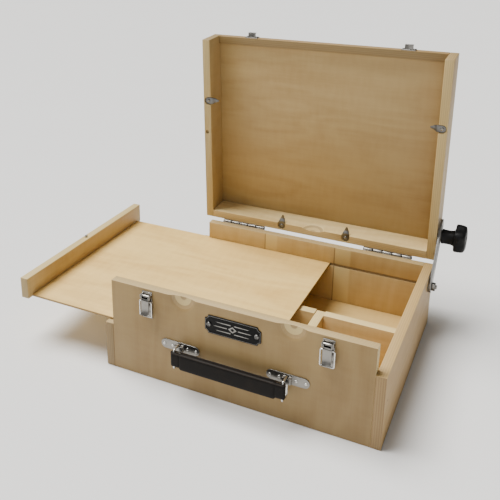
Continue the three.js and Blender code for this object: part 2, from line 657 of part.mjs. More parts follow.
function latchPlate(x) {
  const face = FRONT - METAL_GAP;
  const half = LATCH_WIDTH / 2;
  const plate = block([x - half, face - LATCH_PLY, LATCH_TOP - LATCH_HEIGHT],
    [x + half, face, LATCH_TOP]);
  const ears = [x - half, x + half - LATCH_PLY].map((x0) => block(
    [x0, pinY - LEVER_CURL, LEVER_PIVOT_Z - LEVER_CURL],
    [x0 + LATCH_PLY, face - LATCH_PLY / 2, LEVER_PIVOT_Z + LEVER_CURL]));
  const bore = barX([x, pinY, LEVER_PIVOT_Z], 2 * LATCH_WIDTH, LEVER_PIN_RADIUS + RUNNING_GAP, 16);
  return cut(union([plate, ...ears]), [bore]);
}

// The lever: a curl round its own pin, a smaller one round the bail, and a flared thumb end.
function latchLever(x) {
  const half = LEVER_WIDTH / 2;
  const front = pinY - LEVER_CURL;
  const curl = barX([x, pinY, LEVER_PIVOT_Z], LEVER_WIDTH, LEVER_CURL);
  const bailCurlRadius = BAIL_WIRE + RUNNING_GAP + 0.9;
  const bailCurl = barX([x, bailY, BAIL_PIVOT_Z], LEVER_WIDTH, bailCurlRadius);
  const flareZ = LEVER_END_Z + 4.5;
  const plate = slabAcrossX([
    [front, LEVER_PIVOT_Z], [front, flareZ], [front - LEVER_FLARE, LEVER_END_Z],
    [front - LEVER_FLARE + LATCH_PLY, LEVER_END_Z], [front + LATCH_PLY, flareZ],
    [front + LATCH_PLY, LEVER_PIVOT_Z]], x - half, x + half);
  const pinBore = barX([x, pinY, LEVER_PIVOT_Z], 2 * LEVER_WIDTH,
    LEVER_PIN_RADIUS + RUNNING_GAP, 16);
  const bailBore = barX([x, bailY, BAIL_PIVOT_Z], 2 * LEVER_WIDTH, BAIL_WIRE + RUNNING_GAP, 16);
  return cut(union([curl, bailCurl, plate]), [pinBore, bailBore]);
}

function latchBail(x) {
  const foot = BAIL_PIVOT_Z - BAIL_LENGTH;
  return wireLoop([[x - BAIL_HALF_WIDTH, bailY, BAIL_PIVOT_Z], [x + BAIL_HALF_WIDTH, bailY,
    BAIL_PIVOT_Z], [x + BAIL_HALF_WIDTH, bailY, foot], [x - BAIL_HALF_WIDTH, bailY, foot]],
  BAIL_WIRE);
}

// The keeper: a plate on the lid's front rail with a lip that the raised bail drops behind.
function keeper(x) {
  const face = FRONT - METAL_GAP;
  const hookedZ = BAIL_PIVOT_Z + BAIL_LENGTH;
  const shelfTop = hookedZ - BAIL_WIRE - METAL_GAP;
  const top = hookedZ + BAIL_WIRE + 1.2;
  const plate = block([x - KEEPER_WIDTH / 2, face - LATCH_PLY, FRONT_RAIL_Z + 0.6],
    [x + KEEPER_WIDTH / 2, face, LID_TOP - 1]);
  const lip = FRONT - KEEPER_LIP_OUT;
  const hook = slabAcrossX([[face - LATCH_PLY / 2, shelfTop - LATCH_PLY],
    [lip, shelfTop - LATCH_PLY], [lip, top], [lip + 1, top], [lip + 1, shelfTop],
    [face - LATCH_PLY / 2, shelfTop]], x - KEEPER_HOOK_WIDTH / 2, x + KEEPER_HOOK_WIDTH / 2);
  return plate.add(hook);
}

for (const [side, x] of [['left', -LATCH_X], ['right', LATCH_X]]) {
  const middle = [x, pinY, LEVER_PIVOT_Z];
  add(easel, `latch_${side}_plate`, latchPlate(x), NICKEL);
  add(easel, `latch_${side}_lever`, latchLever(x), NICKEL);
  add(easel, `latch_${side}_pin`, barX(middle, LATCH_WIDTH + 0.4, LEVER_PIN_RADIUS, 16), NICKEL);
  add(easel, `latch_${side}_bail`, latchBail(x), NICKEL);
  add(lid, `latch_${side}_keeper`, keeper(x), NICKEL);
}

// ---- carrying handle ------------------------------------------------------------------------------
const ringTop = HANDLE_Z + STAPLE[2] / 2 + RING_WIRE + GRIP_GAP;

// A mounting plate with a bridge at its middle; the ring's inner bar stands in the channel.
function handlePlate(x) {
  const [length, height, thickness] = HANDLE_PLATE;
  const [width, standOff, tall] = STAPLE;
  const face = FRONT - METAL_GAP;
  const plate = slabOnFront(stadium(x, HANDLE_Z, length, height), face, thickness);
  const bridge = block([x - width / 2, FRONT - standOff, HANDLE_Z - tall / 2],
    [x + width / 2, face - thickness / 2, HANDLE_Z + tall / 2]);
  const reach = RING_WIRE + GRIP_GAP;
  const channel = block([x - reach, FRONT - RING_IN - reach, HANDLE_Z - tall],
    [x + reach, face - thickness, HANDLE_Z + tall]);
  return cut(plate.add(bridge), [channel]);
}

function handleRing(x) {
  const foot = ringTop - RING_HEIGHT;
  return wireLoop([[x, FRONT - RING_IN, ringTop], [x, FRONT - RING_OUT, ringTop],
    [x, FRONT - RING_OUT, foot], [x, FRONT - RING_IN, foot]], RING_WIRE);
}

// The leather grip, bored at both ends for the rings' outer bars.
function handleGrip() {
  const top = ringTop - RING_WIRE - GRIP_GAP;
  const shape = stadium(0, RING_OUT - FRONT, HANDLE_SPAN + GRIP_THICKNESS, GRIP_THICKNESS);
  const geometry = new THREE.ExtrudeGeometry(shape,
    { depth: GRIP_HEIGHT, bevelEnabled: false, curveSegments: 12 });
  geometry.rotateX(Math.PI);
  geometry.translate(0, 0, top);
  const bores = [-HANDLE_SPAN / 2, HANDLE_SPAN / 2].map((x) => bar(
    [x, FRONT - RING_OUT, top - 2 * GRIP_HEIGHT], [x, FRONT - RING_OUT, top + GRIP_HEIGHT],
    RING_WIRE + GRIP_GAP, 16));
  return cut(solid(geometry), bores);
}

for (const [side, x] of [['left', -HANDLE_SPAN / 2], ['right', HANDLE_SPAN / 2]]) {
  add(easel, `handle_${side}_plate`, handlePlate(x), NICKEL);
  add(easel, `handle_${side}_ring`, handleRing(x), NICKEL);
}
add(easel, 'handle_grip', handleGrip(), BLACK_LEATHER);

// ---- nameplate --------------------------------------------------------------------------------------
function nameplate() {
  const [width, height, thickness] = NAMEPLATE;
  const x = width / 2;
  const z0 = NAMEPLATE_Z - height / 2;
  const z1 = NAMEPLATE_Z + height / 2;
  const r = NAMEPLATE_SCALLOP;
  const shape = new THREE.Shape();
  shape.moveTo(-x + r, z0);
  shape.lineTo(x - r, z0);
  shape.absarc(x, z0, r, Math.PI, Math.PI / 2, true);
  shape.lineTo(x, z1 - r);
  shape.absarc(x, z1, r, 1.5 * Math.PI, Math.PI, true);
  shape.lineTo(-x + r, z1);
  shape.absarc(-x, z1, r, 0, -Math.PI / 2, true);
  shape.lineTo(-x, z0 + r);
  shape.absarc(-x, z0, r, Math.PI / 2, 0, true);
  return slabOnFront(shape, FRONT - METAL_GAP, thickness, 8);
}

function nameplateScrew(x) {
  const face = FRONT - METAL_GAP - NAMEPLATE[2] - METAL_GAP;
  const head = domedHead(NAMEPLATE_SCREW_RADIUS, 1.8, NAMEPLATE_SCREW_RADIUS, 0.4);
  return head.rotate([90, 0, 0]).translate([x, face - 0.4, NAMEPLATE_Z]);
}

add(easel, 'nameplate', nameplate(), BLACK_ENAMEL);
add(easel, 'nameplate_screw_left', nameplateScrew(-NAMEPLATE_SCREW_X), NICKEL);
add(easel, 'nameplate_screw_right', nameplateScrew(NAMEPLATE_SCREW_X), NICKEL);

export default easel;
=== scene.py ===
import json
import math

import bmesh
import bpy
from bpy.props import FloatProperty, FloatVectorProperty, IntProperty, PointerProperty
from mathutils import Matrix, Vector


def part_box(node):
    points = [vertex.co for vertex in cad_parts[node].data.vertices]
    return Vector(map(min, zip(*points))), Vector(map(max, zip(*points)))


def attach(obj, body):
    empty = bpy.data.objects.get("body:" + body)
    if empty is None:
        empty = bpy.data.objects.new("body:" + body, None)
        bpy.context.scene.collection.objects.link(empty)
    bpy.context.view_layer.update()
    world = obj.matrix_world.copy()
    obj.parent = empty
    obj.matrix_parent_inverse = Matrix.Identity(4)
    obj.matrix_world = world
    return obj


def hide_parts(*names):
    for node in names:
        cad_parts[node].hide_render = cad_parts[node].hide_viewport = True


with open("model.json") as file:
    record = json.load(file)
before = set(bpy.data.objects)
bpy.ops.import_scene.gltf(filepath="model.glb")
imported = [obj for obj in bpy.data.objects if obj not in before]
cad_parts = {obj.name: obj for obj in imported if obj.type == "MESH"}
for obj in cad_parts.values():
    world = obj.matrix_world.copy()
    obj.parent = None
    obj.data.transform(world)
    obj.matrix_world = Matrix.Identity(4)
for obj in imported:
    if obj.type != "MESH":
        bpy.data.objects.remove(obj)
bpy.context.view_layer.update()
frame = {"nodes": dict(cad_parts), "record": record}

bl_info = {
    "name": "Plywood Paint Box",
    "version": (1, 0, 0),
    "blender": (4, 5, 0),
    "location": "3D View > Sidebar > Paint Box",
    "description": "Gives a plywood paint box its wood, metal and leather, and sets it on a stage",
    "category": "Object",
}

MM = 0.001
BEHAVIOUR = frame["record"]["behaviour"]
SLOT_OF = {row["node"]: row["material_slot"] for row in frame["record"]["subparts"]}
BODY_OF = {node: body for body, nodes in BEHAVIOUR["bodies"].items() for node in nodes}

# The lid stands open, so what follows the boards' own directions is worked out with it shut.
JOINTS = {joint["name"]: joint for joint in BEHAVIOUR["joints"]}
HINGE_AT = Vector(JOINTS["lid_hinge"]["pos_m"])
OPEN_ANGLE = math.radians(max(JOINTS["lid_hinge"]["range_deg"]))
SHUT_LID = (
    Matrix.Translation(HINGE_AT) @ Matrix.Rotation(OPEN_ANGLE, 4, "X") @ Matrix.Translation(-HINGE_AT)
)
OPEN_LID = SHUT_LID.inverted()
ON_LID = ("lid", "knob")
SIDES = ("left", "right")
X, Y, Z = Vector((1, 0, 0)), Vector((0, 1, 0)), Vector((0, 0, 1))

# Outer faces of the thin fittings: on the front, and on the back with the lid shut.
FRONT_FACE_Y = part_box("base_front_panel")[0].y - 1.35 * MM
BACK_FACE_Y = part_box("base_back_panel")[1].y + 1.55 * MM
# The heights of the bails' pivots and of the tray leaves' lower edges.
BAIL_AT = (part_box("latch_left_bail")[1].z * 1000 - 0.9) * MM
TRAY_LEAF_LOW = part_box("hinge_left_base_leaf")[0].z
KEEPER_SCREW_RISE = 39.8 * MM  # a keeper's screws, above the hinge axis with the lid shut
LEAF_SCREW_RISE = 8 * MM  # a hinge leaf's screws, from its outer edge


# ---- sizes and colours that can be changed in the sidebar ----
def length(name, description, millimetres):
    return FloatProperty(
        name=name, description=description, default=millimetres * MM, min=0, unit="LENGTH", precision=5
    )


def colour(name, description, red, green, blue):
    return FloatVectorProperty(
        name=name, description=description, subtype="COLOR", size=3, min=0, max=1,
        default=(red, green, blue),
    )


def number(name, description, value):
    return FloatProperty(name=name, description=description, default=value)


class PaintBoxWood(bpy.types.PropertyGroup):
    """Sizes and colours of the plywood."""

    eased_edge: length("Eased edge", "Width of the sanded bevel on each board", 0.45)
    pale: colour("Pale grain", "Lightest part of the face veneer", 0.74, 0.565, 0.275)
    middle: colour("Grain", "Common colour of the face veneer", 0.66, 0.48, 0.215)
    dark: colour("Dark grain", "Darkest part of the face veneer", 0.55, 0.37, 0.145)
    fresh: colour("Fresh cut", "Plies cut along the grain", 0.80, 0.635, 0.30)
    end_grain: colour("End grain", "Plies cut across the grain", 0.34, 0.235, 0.115)
    glue: colour("Glue line", "Thin line between two plies", 0.20, 0.125, 0.06)


class PaintBoxMetal(bpy.types.PropertyGroup):
    """Sizes and colours of the fittings."""

    eased_edge: length("Eased edge", "Rounded edge of stamped metal", 0.18)
    nickel: colour("Nickel", "Bright plating", 0.27, 0.258, 0.238)
    wire: colour("Wire", "Polished wire", 0.66, 0.65, 0.62)
    steel: colour("Steel", "Plain steel", 0.34, 0.335, 0.32)
    tarnish: colour("Tarnish", "Dull patches on plating", 0.20, 0.18, 0.155)
    screw_size: number("Screw size", "Size of the screw heads", 1.0)
    seed: IntProperty(name="Seed", description="Turns the screws' slots at random", default=7)


class PaintBoxHandle(bpy.types.PropertyGroup):
    """Sizes and colours of the leather grip."""

    piping: length("Piping", "Radius of the cord sewn round the grip's upper edge", 0.75)
    stitch: length("Stitch", "Length of one stitch", 2.1)
    leather: colour("Leather", "Black dyed hide", 0.0060, 0.0042, 0.0032)
    worn: colour("Worn leather", "Edges that the hand has rubbed", 0.030, 0.021, 0.015)


class PaintBoxStage(bpy.types.PropertyGroup):
    """Floor and lights."""

    floor: colour("Floor", "Pale seamless floor", 0.78, 0.78, 0.775)
    key: number("Key light", "Strength of the soft overhead light", 6.4)
    fill: number("Fill light", "Power of the light from the left", 3.0)
    surround: number("Surround", "Strength of the light all round", 0.16)


# ---- material building ------------------------------------
def arithmetic(operation, reflected=False):
    """A method that adds one Math node, with its operands swapped if it's reflected."""
    def method(self, *others):
        operands = (*others, self) if reflected else (self, *others)
        return self.recipe.node("ShaderNodeMath", dict(enumerate(operands)), operation=operation)

    return method


class Value:
    """A number in a material. Arithmetic on it adds Math nodes."""

    def __init__(self, recipe, socket):
        self.recipe = recipe
        self.socket = socket

    __add__, __radd__ = arithmetic("ADD"), arithmetic("ADD", True)
    __sub__, __rsub__ = arithmetic("SUBTRACT"), arithmetic("SUBTRACT", True)
    __mul__, __rmul__ = arithmetic("MULTIPLY"), arithmetic("MULTIPLY", True)
    __truediv__, __mod__ = arithmetic("DIVIDE"), arithmetic("MODULO")
    __gt__, __lt__ = arithmetic("GREATER_THAN"), arithmetic("LESS_THAN")
    __abs__, floor, sine = arithmetic("ABSOLUTE"), arithmetic("FLOOR"), arithmetic("SINE")
    largest = arithmetic("MAXIMUM")

    def between(self, low, high):
        """0 below low, 1 above high, and smooth in between."""
        sockets = {"Value": self, "From Min": low, "From Max": high}
        return self.recipe.node("ShaderNodeMapRange", sockets, interpolation_type="SMOOTHSTEP")


class Recipe:
    """One material and its nodes."""

    def __init__(self, name):
        self.material = bpy.data.materials.new(name)
        self.material.use_nodes = True
        self.tree = self.material.node_tree
        self.shader = self.tree.nodes["Principled BSDF"]

    def feed(self, socket, value):
        if isinstance(value, Value):
            self.tree.links.new(value.socket, socket)
        elif isinstance(value, (int, float)):
            socket.default_value = value
        else:
            value = tuple(value)
            room = len(socket.default_value)
            socket.default_value = value + (1.0,) * (room - len(value))

    def node(self, kind, sockets=None, output=0, stops=None, **settings):
        """Adds a node: its settings, then its sockets' values or links. Returns one output."""
        made = self.tree.nodes.new(kind)
        for name, setting in settings.items():
            setattr(made, name, setting)
        if stops:
            ramp = made.color_ramp.elements
            while len(ramp) < len(stops):
                ramp.new(1.0)
            for element, (place, shade) in zip(ramp, stops):
                element.position = place
                element.color = (*shade, 1.0)
        for key, value in (sockets or {}).items():
            self.feed(made.inputs[key], value)
        return Value(self, made.outputs[output])

    def mix(self, factor, first, second, blend="MIX"):
        sockets = {0: factor, 6: first, 7: second}
        return self.node("ShaderNodeMix", sockets, output=2, data_type="RGBA", blend_type=blend)

    def shade(self, first, second):
        """One colour multiplied by another."""
        return self.mix(1.0, first, second, "MULTIPLY")

    def parts(self, vector):
        made = self.tree.nodes.new("ShaderNodeSeparateXYZ")
        self.feed(made.inputs[0], vector)
        return [Value(self, made.outputs[i]) for i in range(3)]

    def vector(self, x, y, z):
        return self.node("ShaderNodeCombineXYZ", {0: x, 1: y, 2: z})

    def attribute(self, name):
        return self.node("ShaderNodeAttribute", output="Vector", attribute_name=name)

    def place(self):
        return self.node("ShaderNodeTexCoord", output="Object")

    def noise(self, vector, scale, detail=2.0, roughness=0.5, distortion=0.0):
        sockets = {
            "Vector": vector, "Scale": scale, "Detail": detail, "Roughness": roughness,
            "Distortion": distortion,
        }
        return self.node("ShaderNodeTexNoise", sockets)

    def bump(self, height, strength, distance):
        sockets = {"Height": height, "Strength": strength, "Distance": distance}
        return self.node("ShaderNodeBump", sockets)

    def finish(self, base, roughness, metallic=0.0, normal=None, fixed=None):
        self.feed(self.shader.inputs["Base Color"], base)
        self.feed(self.shader.inputs["Roughness"], roughness)
        self.feed(self.shader.inputs["Metallic"], metallic)
        if normal is not None:
            self.feed(self.shader.inputs["Normal"], normal)
        for name, amount in (fixed or {}).items():
            self.shader.inputs[name].default_value = amount
        return self.material


def plywood(name, thickness, plies, tint_and_painted_light=(1, 1, 1), seams=(), knots=(), edge=(1, 1, 1)):
    """Veneer on the faces, and the plies where a board is cut across or scooped out."""
    look = bpy.context.scene.paint_box_wood
    r = Recipe(name)
    along, across, through = r.parts(r.attribute("board"))
    end_on, side_on, face_on = r.parts(r.attribute("facing"))
    warp = r.noise(r.vector(along * 2.2, across * 5.0, through * 20), 1.0, 2.0)
    arches = r.noise(r.vector(along * 3.0, across * 13.0, through * 90), 1.0, 2.0, 0.5, 0.4)
    broad = r.noise(r.vector(along * 4.0, across * 17.0, through * 150), 1.0, 3.0, 0.55)
    streak = r.noise(r.vector(along * 9.0, across * 150.0, through * 500), 1.0, 3.0, 0.6, 0.3)
    pores = r.noise(r.vector(along * 70.0, across * 1000.0, through * 1000), 1.0, 2.0)
    curl = r.noise(r.vector(along * 130.0, across * 34.0, 0.0), 1.0, 2.0)
    figure = (arches * 46.0 + across * 30.0 + warp * 9.0).sine() * 0.5 + 0.5
    tone = broad * 0.36 + figure * 0.10 + streak * 0.22 + pores * 0.14 + curl * 0.18
    veneer = r.node(
        "ShaderNodeValToRGB", {"Fac": tone},
        stops=[(0.30, look.dark), (0.50, look.middle), (0.68, look.pale)],
    )
    patches = r.noise(r.vector(along * 5.0, across * 8.0, 0.0), 1.0, 1.0)
    veneer = r.mix(patches.between(0.42, 0.75) * 0.4, veneer, look.pale)
    for middle, width in seams:
        past = across - middle
        band = past.between(0.0, 0.002) * (1 - past.between(width * 0.85, width))
        veneer = r.mix(band * 0.9, veneer, look.fresh)
        veneer = r.mix((1 - abs(past).between(0.0003, 0.0010)) * 0.8, veneer, look.glue)
    for knot_along, knot_across, radius in knots:
        offset = r.vector((along - knot_along) * 0.6, across - knot_across, 0.0)
        out = r.node("ShaderNodeVectorMath", {0: offset}, output="Value", operation="LENGTH")
        rings = ((out * 2600.0).sine() * 0.5 + 0.5) * (1 - out.between(radius, radius * 2.4))
        veneer = r.mix(rings * 0.35, veneer, look.dark)
        veneer = r.mix((1 - out.between(radius * 0.5, radius)) * 0.8, veneer, look.glue)
    # Painted light and shade: the board's tint darkens or lightens its veneer for how the board stands
    # to the lamps.
    veneer = r.shade(veneer, tint_and_painted_light)
    count = (through / thickness + 0.5) * (plies * 0.9998) + plies * 0.0001
    ply = count.floor()
    crossing = ply % 2.0
    inside = (ply > 0.5) * (ply < plies - 1.5)
    from_line = abs((count - 0.5) % 1.0 - 0.5)
    glue_line = (1 - from_line.between(0.04, 0.12)) * (count > 0.5) * (count < plies - 0.5)
    cut_end = abs(crossing - (end_on > 0.5))
    side = r.mix(pores.between(0.3, 0.7) * 0.5, look.fresh, look.pale)
    end = r.mix(pores.between(0.3, 0.7) * 0.5, look.end_grain, look.dark)
    flat = face_on > 0.6
    scooped = flat * inside
    # Painted shade: on the board's end faces the plies cut along the grain are darkened towards end
    # grain.
    side = r.mix(end_on * 0.55, side, look.end_grain)
    cut = r.mix(cut_end * (scooped * 0.7 + 0.24 + 0.35 * end_on), side, end)
    cut = r.mix(glue_line * (0.16 + 0.25 * end_on), cut, look.glue)
    # Painted light and shade on the cut edges and scooped plies, from the board's edge tint.
    cut = r.shade(cut, edge)
    base = r.mix((1 - flat) + scooped * 0.6, veneer, cut)
    corner = 1 - end_on.largest(side_on).largest(face_on).between(0.78, 0.9)
    base = r.mix(corner * 0.35, base, look.fresh)
    height = pores * 0.5 + streak * 0.5 - glue_line * (1 - flat)
    return r.finish(
        base, 0.42 + 0.2 * pores + 0.06 * broad, normal=r.bump(height, 0.3, 0.00012),
        fixed={"Coat Weight": 0.06, "Coat Roughness": 0.35},
    )


def plated(name, bright, roughness=0.2, brushed=(1, 1, 1), painted_shade_boxes=()):
    """Plated or plain metal, with dull patches and fine scratches. The given boxes are painted
    near-black, a painted shade.
    """
    look = bpy.context.scene.paint_box_metal
    r = Recipe(name)
    here = r.place()
    x, y, z = r.parts(here)
    smudge = r.noise(here, 90.0, 3.0, 0.6)
    fine = r.noise(here, 900.0, 2.0)
    stretched = r.vector(*(part * stretch for part, stretch in zip((x, y, z), brushed)))
    lines = r.noise(stretched, 700.0, 2.0)
    base = r.mix(smudge.between(0.5, 0.85) * 0.5, bright, look.tarnish)
    base = r.mix(fine.between(0.62, 0.8) * 0.25, base, look.tarnish)
    # Painted shade: inside the given boxes the metal turns near-black, where a slot, crease or gap
    # stands in shadow.
    painted_shade_mask = 0.0
    for low, high in painted_shade_boxes:
        inside = 1.0
        for part, start, end in zip((x, y, z), low, high):
            inside = (part > start) * (part < end) * inside
        painted_shade_mask = inside + painted_shade_mask
    if painted_shade_boxes:
        base = r.mix(painted_shade_mask, base, (0.006, 0.005, 0.004))
    rough = roughness + smudge * 0.16 + lines * 0.12 + painted_shade_mask * 0.4
    return r.finish(base, rough, 1.0, r.bump(lines * 0.7 + smudge * 0.3, 0.18, 0.00006))


def moulded_black(name):
    """Black moulded plastic with a fine spark-eroded texture and rubbed high spots."""
    r = Recipe(name)
    here = r.place()
    grit = r.noise(here, 2200.0, 2.0, 0.7)
    rub = r.noise(here, 60.0, 3.0, 0.6)
    base = r.mix(rub.between(0.5, 0.8), (0.004, 0.004, 0.0042), (0.011, 0.011, 0.0115))
    return r.finish(
        base, 0.42 + rub * 0.2, normal=r.bump(grit, 0.3, 0.00008), fixed={"Specular IOR Level": 0.22}
    )


def hide(name, worn_by=0.0):
    """Black leather: pebbled grain, fine creases, and brown where it's rubbed."""
    look = bpy.context.scene.paint_box_handle
    r = Recipe(name)
    here = r.place()
    cells = r.node(
        "ShaderNodeTexVoronoi", {"Vector": here, "Scale": 950.0}, output="Distance", feature="F1"
    )
    creases = r.noise(here, 230.0, 4.0, 0.65, 0.6)
    rub = r.noise(here, 45.0, 3.0, 0.6)
    base = r.mix(rub.between(0.45, 0.8) * 0.35 + worn_by, look.leather, look.worn)
    base = r.mix(cells.between(0.35, 0.7) * 0.5, base, (0.002, 0.0016, 0.0013))
    height = (1 - cells) * 0.6 + creases * 0.4
    return r.finish(
        base, 0.40 + rub * 0.22, normal=r.bump(height, 0.5, 0.00018), fixed={"Specular IOR Level": 0.13}
    )


def enamel(name):
    """Black stove enamel with faint dust and orange peel."""
    r = Recipe(name)
    here = r.place()
    dust = r.noise(here, 260.0, 4.0, 0.7)
    peel = r.noise(here, 700.0, 1.0)
    base = r.mix(dust.between(0.55, 0.85) * 0.5, (0.0020, 0.0019, 0.0018), (0.010, 0.009, 0.0075))
    return r.finish(
        base, 0.25 + dust * 0.25, normal=r.bump(peel, 0.12, 0.00005), fixed={"Specular IOR Level": 0.14}
    )


def thread(name):
    """Waxed sewing thread with its twist."""
    r = Recipe(name)
    x, _, z = r.parts(r.place())
    twist = ((x + z) * 9000.0).sine() * 0.5 + 0.5
    base = r.mix(twist, (0.012, 0.010, 0.009), (0.05, 0.042, 0.036))
    return r.finish(base, 0.6 + 0.1 * twist, normal=r.bump(twist, 0.5, 0.0001))


# ---- mesh helpers -----------------------------------------
def add_piece(name, mesh, body, material, replaced=(), smooth=35.0):
    """Puts a mesh in the scene as one piece that rides on a body."""
    mesh.materials.clear()
    mesh.materials.append(material)
    mesh.shade_smooth()
    mesh.set_sharp_from_angle(angle=math.radians(smooth))
    piece = bpy.data.objects.new(name, mesh)
    bpy.context.scene.collection.objects.link(piece)
    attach(piece, body)
    if replaced:
        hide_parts(*replaced)
    return piece


def mesh_from(name, build):
    """A mesh made by a function that fills a bmesh."""
    bm = bmesh.new()
    build(bm)
    bmesh.ops.remove_doubles(bm, verts=bm.verts, dist=1e-6)
    bmesh.ops.recalc_face_normals(bm, faces=bm.faces)
    mesh = bpy.data.meshes.new(name)
    bm.to_mesh(mesh)
    bm.free()
    return mesh


def eased_mesh(node, width):
    """A CAD node's shape with whole flat faces and its sharp edges rounded."""
    bm = bmesh.new()
    bm.from_mesh(frame["nodes"][node].data)
    bmesh.ops.remove_doubles(bm, verts=bm.verts, dist=2e-6)
    bmesh.ops.dissolve_limit(bm, angle_limit=math.radians(0.6), verts=bm.verts, edges=bm.edges)
    sharp = [
        edge for edge in bm.edges
        if len(edge.link_faces) == 2 and edge.calc_face_angle(0) > math.radians(38)
    ]
    bmesh.ops.bevel(
        bm, geom=sharp, offset=width, segments=2, affect="EDGES", profile=0.5, clamp_overlap=True
    )
    bmesh.ops.triangulate(bm, faces=[face for face in bm.faces if len(face.verts) > 4])
    mesh = bpy.data.meshes.new(node + "_mesh")
    bm.to_mesh(mesh)
    bm.free()
    return mesh


def ring_strip(bm, rings, closed=False):
    """Skins rings of points. The last joins the first, or both ends are capped."""
    loops = [[bm.verts.new(point) for point in ring] for ring in rings]
    count = len(loops[0])
    pairs = list(zip(loops, loops[1:]))
    if closed:
        pairs.append((loops[-1], loops[0]))
    for low, high in pairs:
        for i in range(count):
            j = (i + 1) % count
            bm.faces.new((low[i], low[j], high[j], high[i]))
    if not closed:
        bm.faces.new(list(reversed(loops[0])))
        bm.faces.new(loops[-1])


def rounded_path(corners, bend, steps=7):
    """Points of a closed path whose corners are arcs of the bend radius."""
    path = []
    count = len(corners)
    for i, corner in enumerate(corners):
        before = (corners[i - 1] - corner).normalized()
        after = (corners[(i + 1) % count] - corner).normalized()
        middle = corner + (before + after).normalized() * bend * math.sqrt(2)
        start, end = corner + before * bend - middle, corner + after * bend - middle
        for k in range(steps + 1):
            turn = k / steps * math.pi / 2
            path.append(middle + start * math.cos(turn) + end * math.sin(turn))
    return path


def tube(bm, path, radius, sides=14):
    """A round tube along a closed path that lies in one plane."""
    count = len(path)
    flat_normal = Vector((0, 0, 0))
    for i in range(count):
        flat_normal += path[i - 1].cross(path[i])
    flat_normal.normalize()
    rings = []
    for i, point in enumerate(path):
        direction = (path[(i + 1) % count] - path[i - 1]).normalized()
        outward = direction.cross(flat_normal).normalized()
        rings.append([
            point + radius * (outward * math.cos(a) + flat_normal * math.sin(a))
            for a in (2 * math.pi * k / sides for k in range(sides))
        ])
    ring_strip(bm, rings, closed=True)


def nodes_named(start):
    return [node for node in SLOT_OF if node.startswith(start)]


def middle_of(node):
    low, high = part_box(node)
    return (low + high) / 2


# ---- boards -----------------------------------------------
# node: axis along the face grain, axis through the plies, number of plies, tint; the tint is partly the
# board's own tone and mostly painted light and shade, darker for boards that face the front or away
# from the lamps, lighter for lit ones
BOARDS = {
    "base_front_panel": ("Z", "Y", 9, (0.445, 0.392, 0.315)),
    "base_back_panel": ("Z", "Y", 9, (0.80, 0.77, 0.69)),
    "base_left_side": ("Y", "X", 9, (0.42, 0.355, 0.285)),
    "base_right_side": ("Y", "X", 9, (0.76, 0.66, 0.54)),
    "base_bottom_panel": ("X", "Z", 5, (0.93, 0.87, 0.68)),
    "long_divider": ("X", "Y", 9, (1.0, 0.96, 0.92)),
    "cross_divider": ("Y", "X", 9, (1.0, 0.98, 0.95)),
    "palette_board": ("X", "Z", 3, (1.14, 1.05, 0.76)),
    "palette_cleat": ("Y", "X", 9, (0.84, 0.80, 0.70)),
    "lid_left_side": ("Y", "X", 9, (0.62, 0.58, 0.52)),
    "lid_right_side": ("Y", "X", 9, (0.66, 0.60, 0.52)),
    "lid_hinge_rail": ("X", "Y", 9, (1.16, 1.20, 1.22)),
    "lid_front_rail": ("X", "Y", 9, (0.45, 0.38, 0.30)),
    "lid_panel": ("X", "Z", 5, (0.63, 0.59, 0.52)),
}
AXES = {"X": X, "Y": Y, "Z": Z}
# Where along the veneer a body's first board is cut, and how much further along the next, in metres.
GRAIN_START, GRAIN_STEP = 0.11, 0.37
# The tint of a board's edges and of the plies that a scoop lays bare, painted light and shade: paler on
# lit top edges, darker on edges that face the front in shade.
EDGE_USUAL = (0.95, 0.93, 0.88)
EDGE_LIGHT_AND_SHADE = {
    "base_front_panel": (0.96, 0.95, 0.92),
    "base_left_side": (0.52, 0.47, 0.41),
    "base_right_side": (0.62, 0.53, 0.44),
    "palette_board": (0.42, 0.33, 0.22),
    "palette_cleat": (0.80, 0.78, 0.72),
    "lid_left_side": (0.67, 0.64, 0.58),
    "lid_right_side": (0.70, 0.65, 0.57),
    "lid_hinge_rail": (0.78, 0.72, 0.66),
    "lid_front_rail": (0.34, 0.29, 0.225),
    "lid_panel": (0.72, 0.67, 0.60),
}
# Strips of paler veneer, glued in: where each starts across the board, and its width, in metres.
SEAMS = {"base_back_panel": ((-0.073, 0.022), (0.041, 0.027))}
# Knots: place along and across the board, and radius.
KNOTS = {
    "lid_hinge_rail": ((-0.155, 0.1430, 0.0022),),
    "base_right_side": ((-0.1325, 0.057, 0.0016),),
}


def lay_out_grain(mesh, on_lid, grain, ply_axis, offset):
    """Stores each point's place along, across and through the board, and how each face stands."""
    along, through = AXES[grain], AXES[ply_axis]
    across = Vector([1 - a - b for a, b in zip(along, through)])
    shut = SHUT_LID if on_lid else Matrix.Identity(4)
    points = [shut @ vertex.co for vertex in mesh.vertices]
    depths = [point.dot(through) for point in points]
    middle = (min(depths) + max(depths)) / 2
    board = mesh.attributes.new("board", "FLOAT_VECTOR", "POINT")
    for entry, point, depth in zip(board.data, points, depths):
        entry.vector = (point.dot(along) + offset, point.dot(across), depth - middle)
    turn = shut.to_3x3()
    facing = mesh.attributes.new("facing", "FLOAT_VECTOR", "FACE")
    for entry, face in zip(facing.data, mesh.polygons):
        normal = turn @ face.normal
        entry.vector = (abs(normal.dot(along)), abs(normal.dot(across)), abs(normal.dot(through)))
    return max(depths) - min(depths)


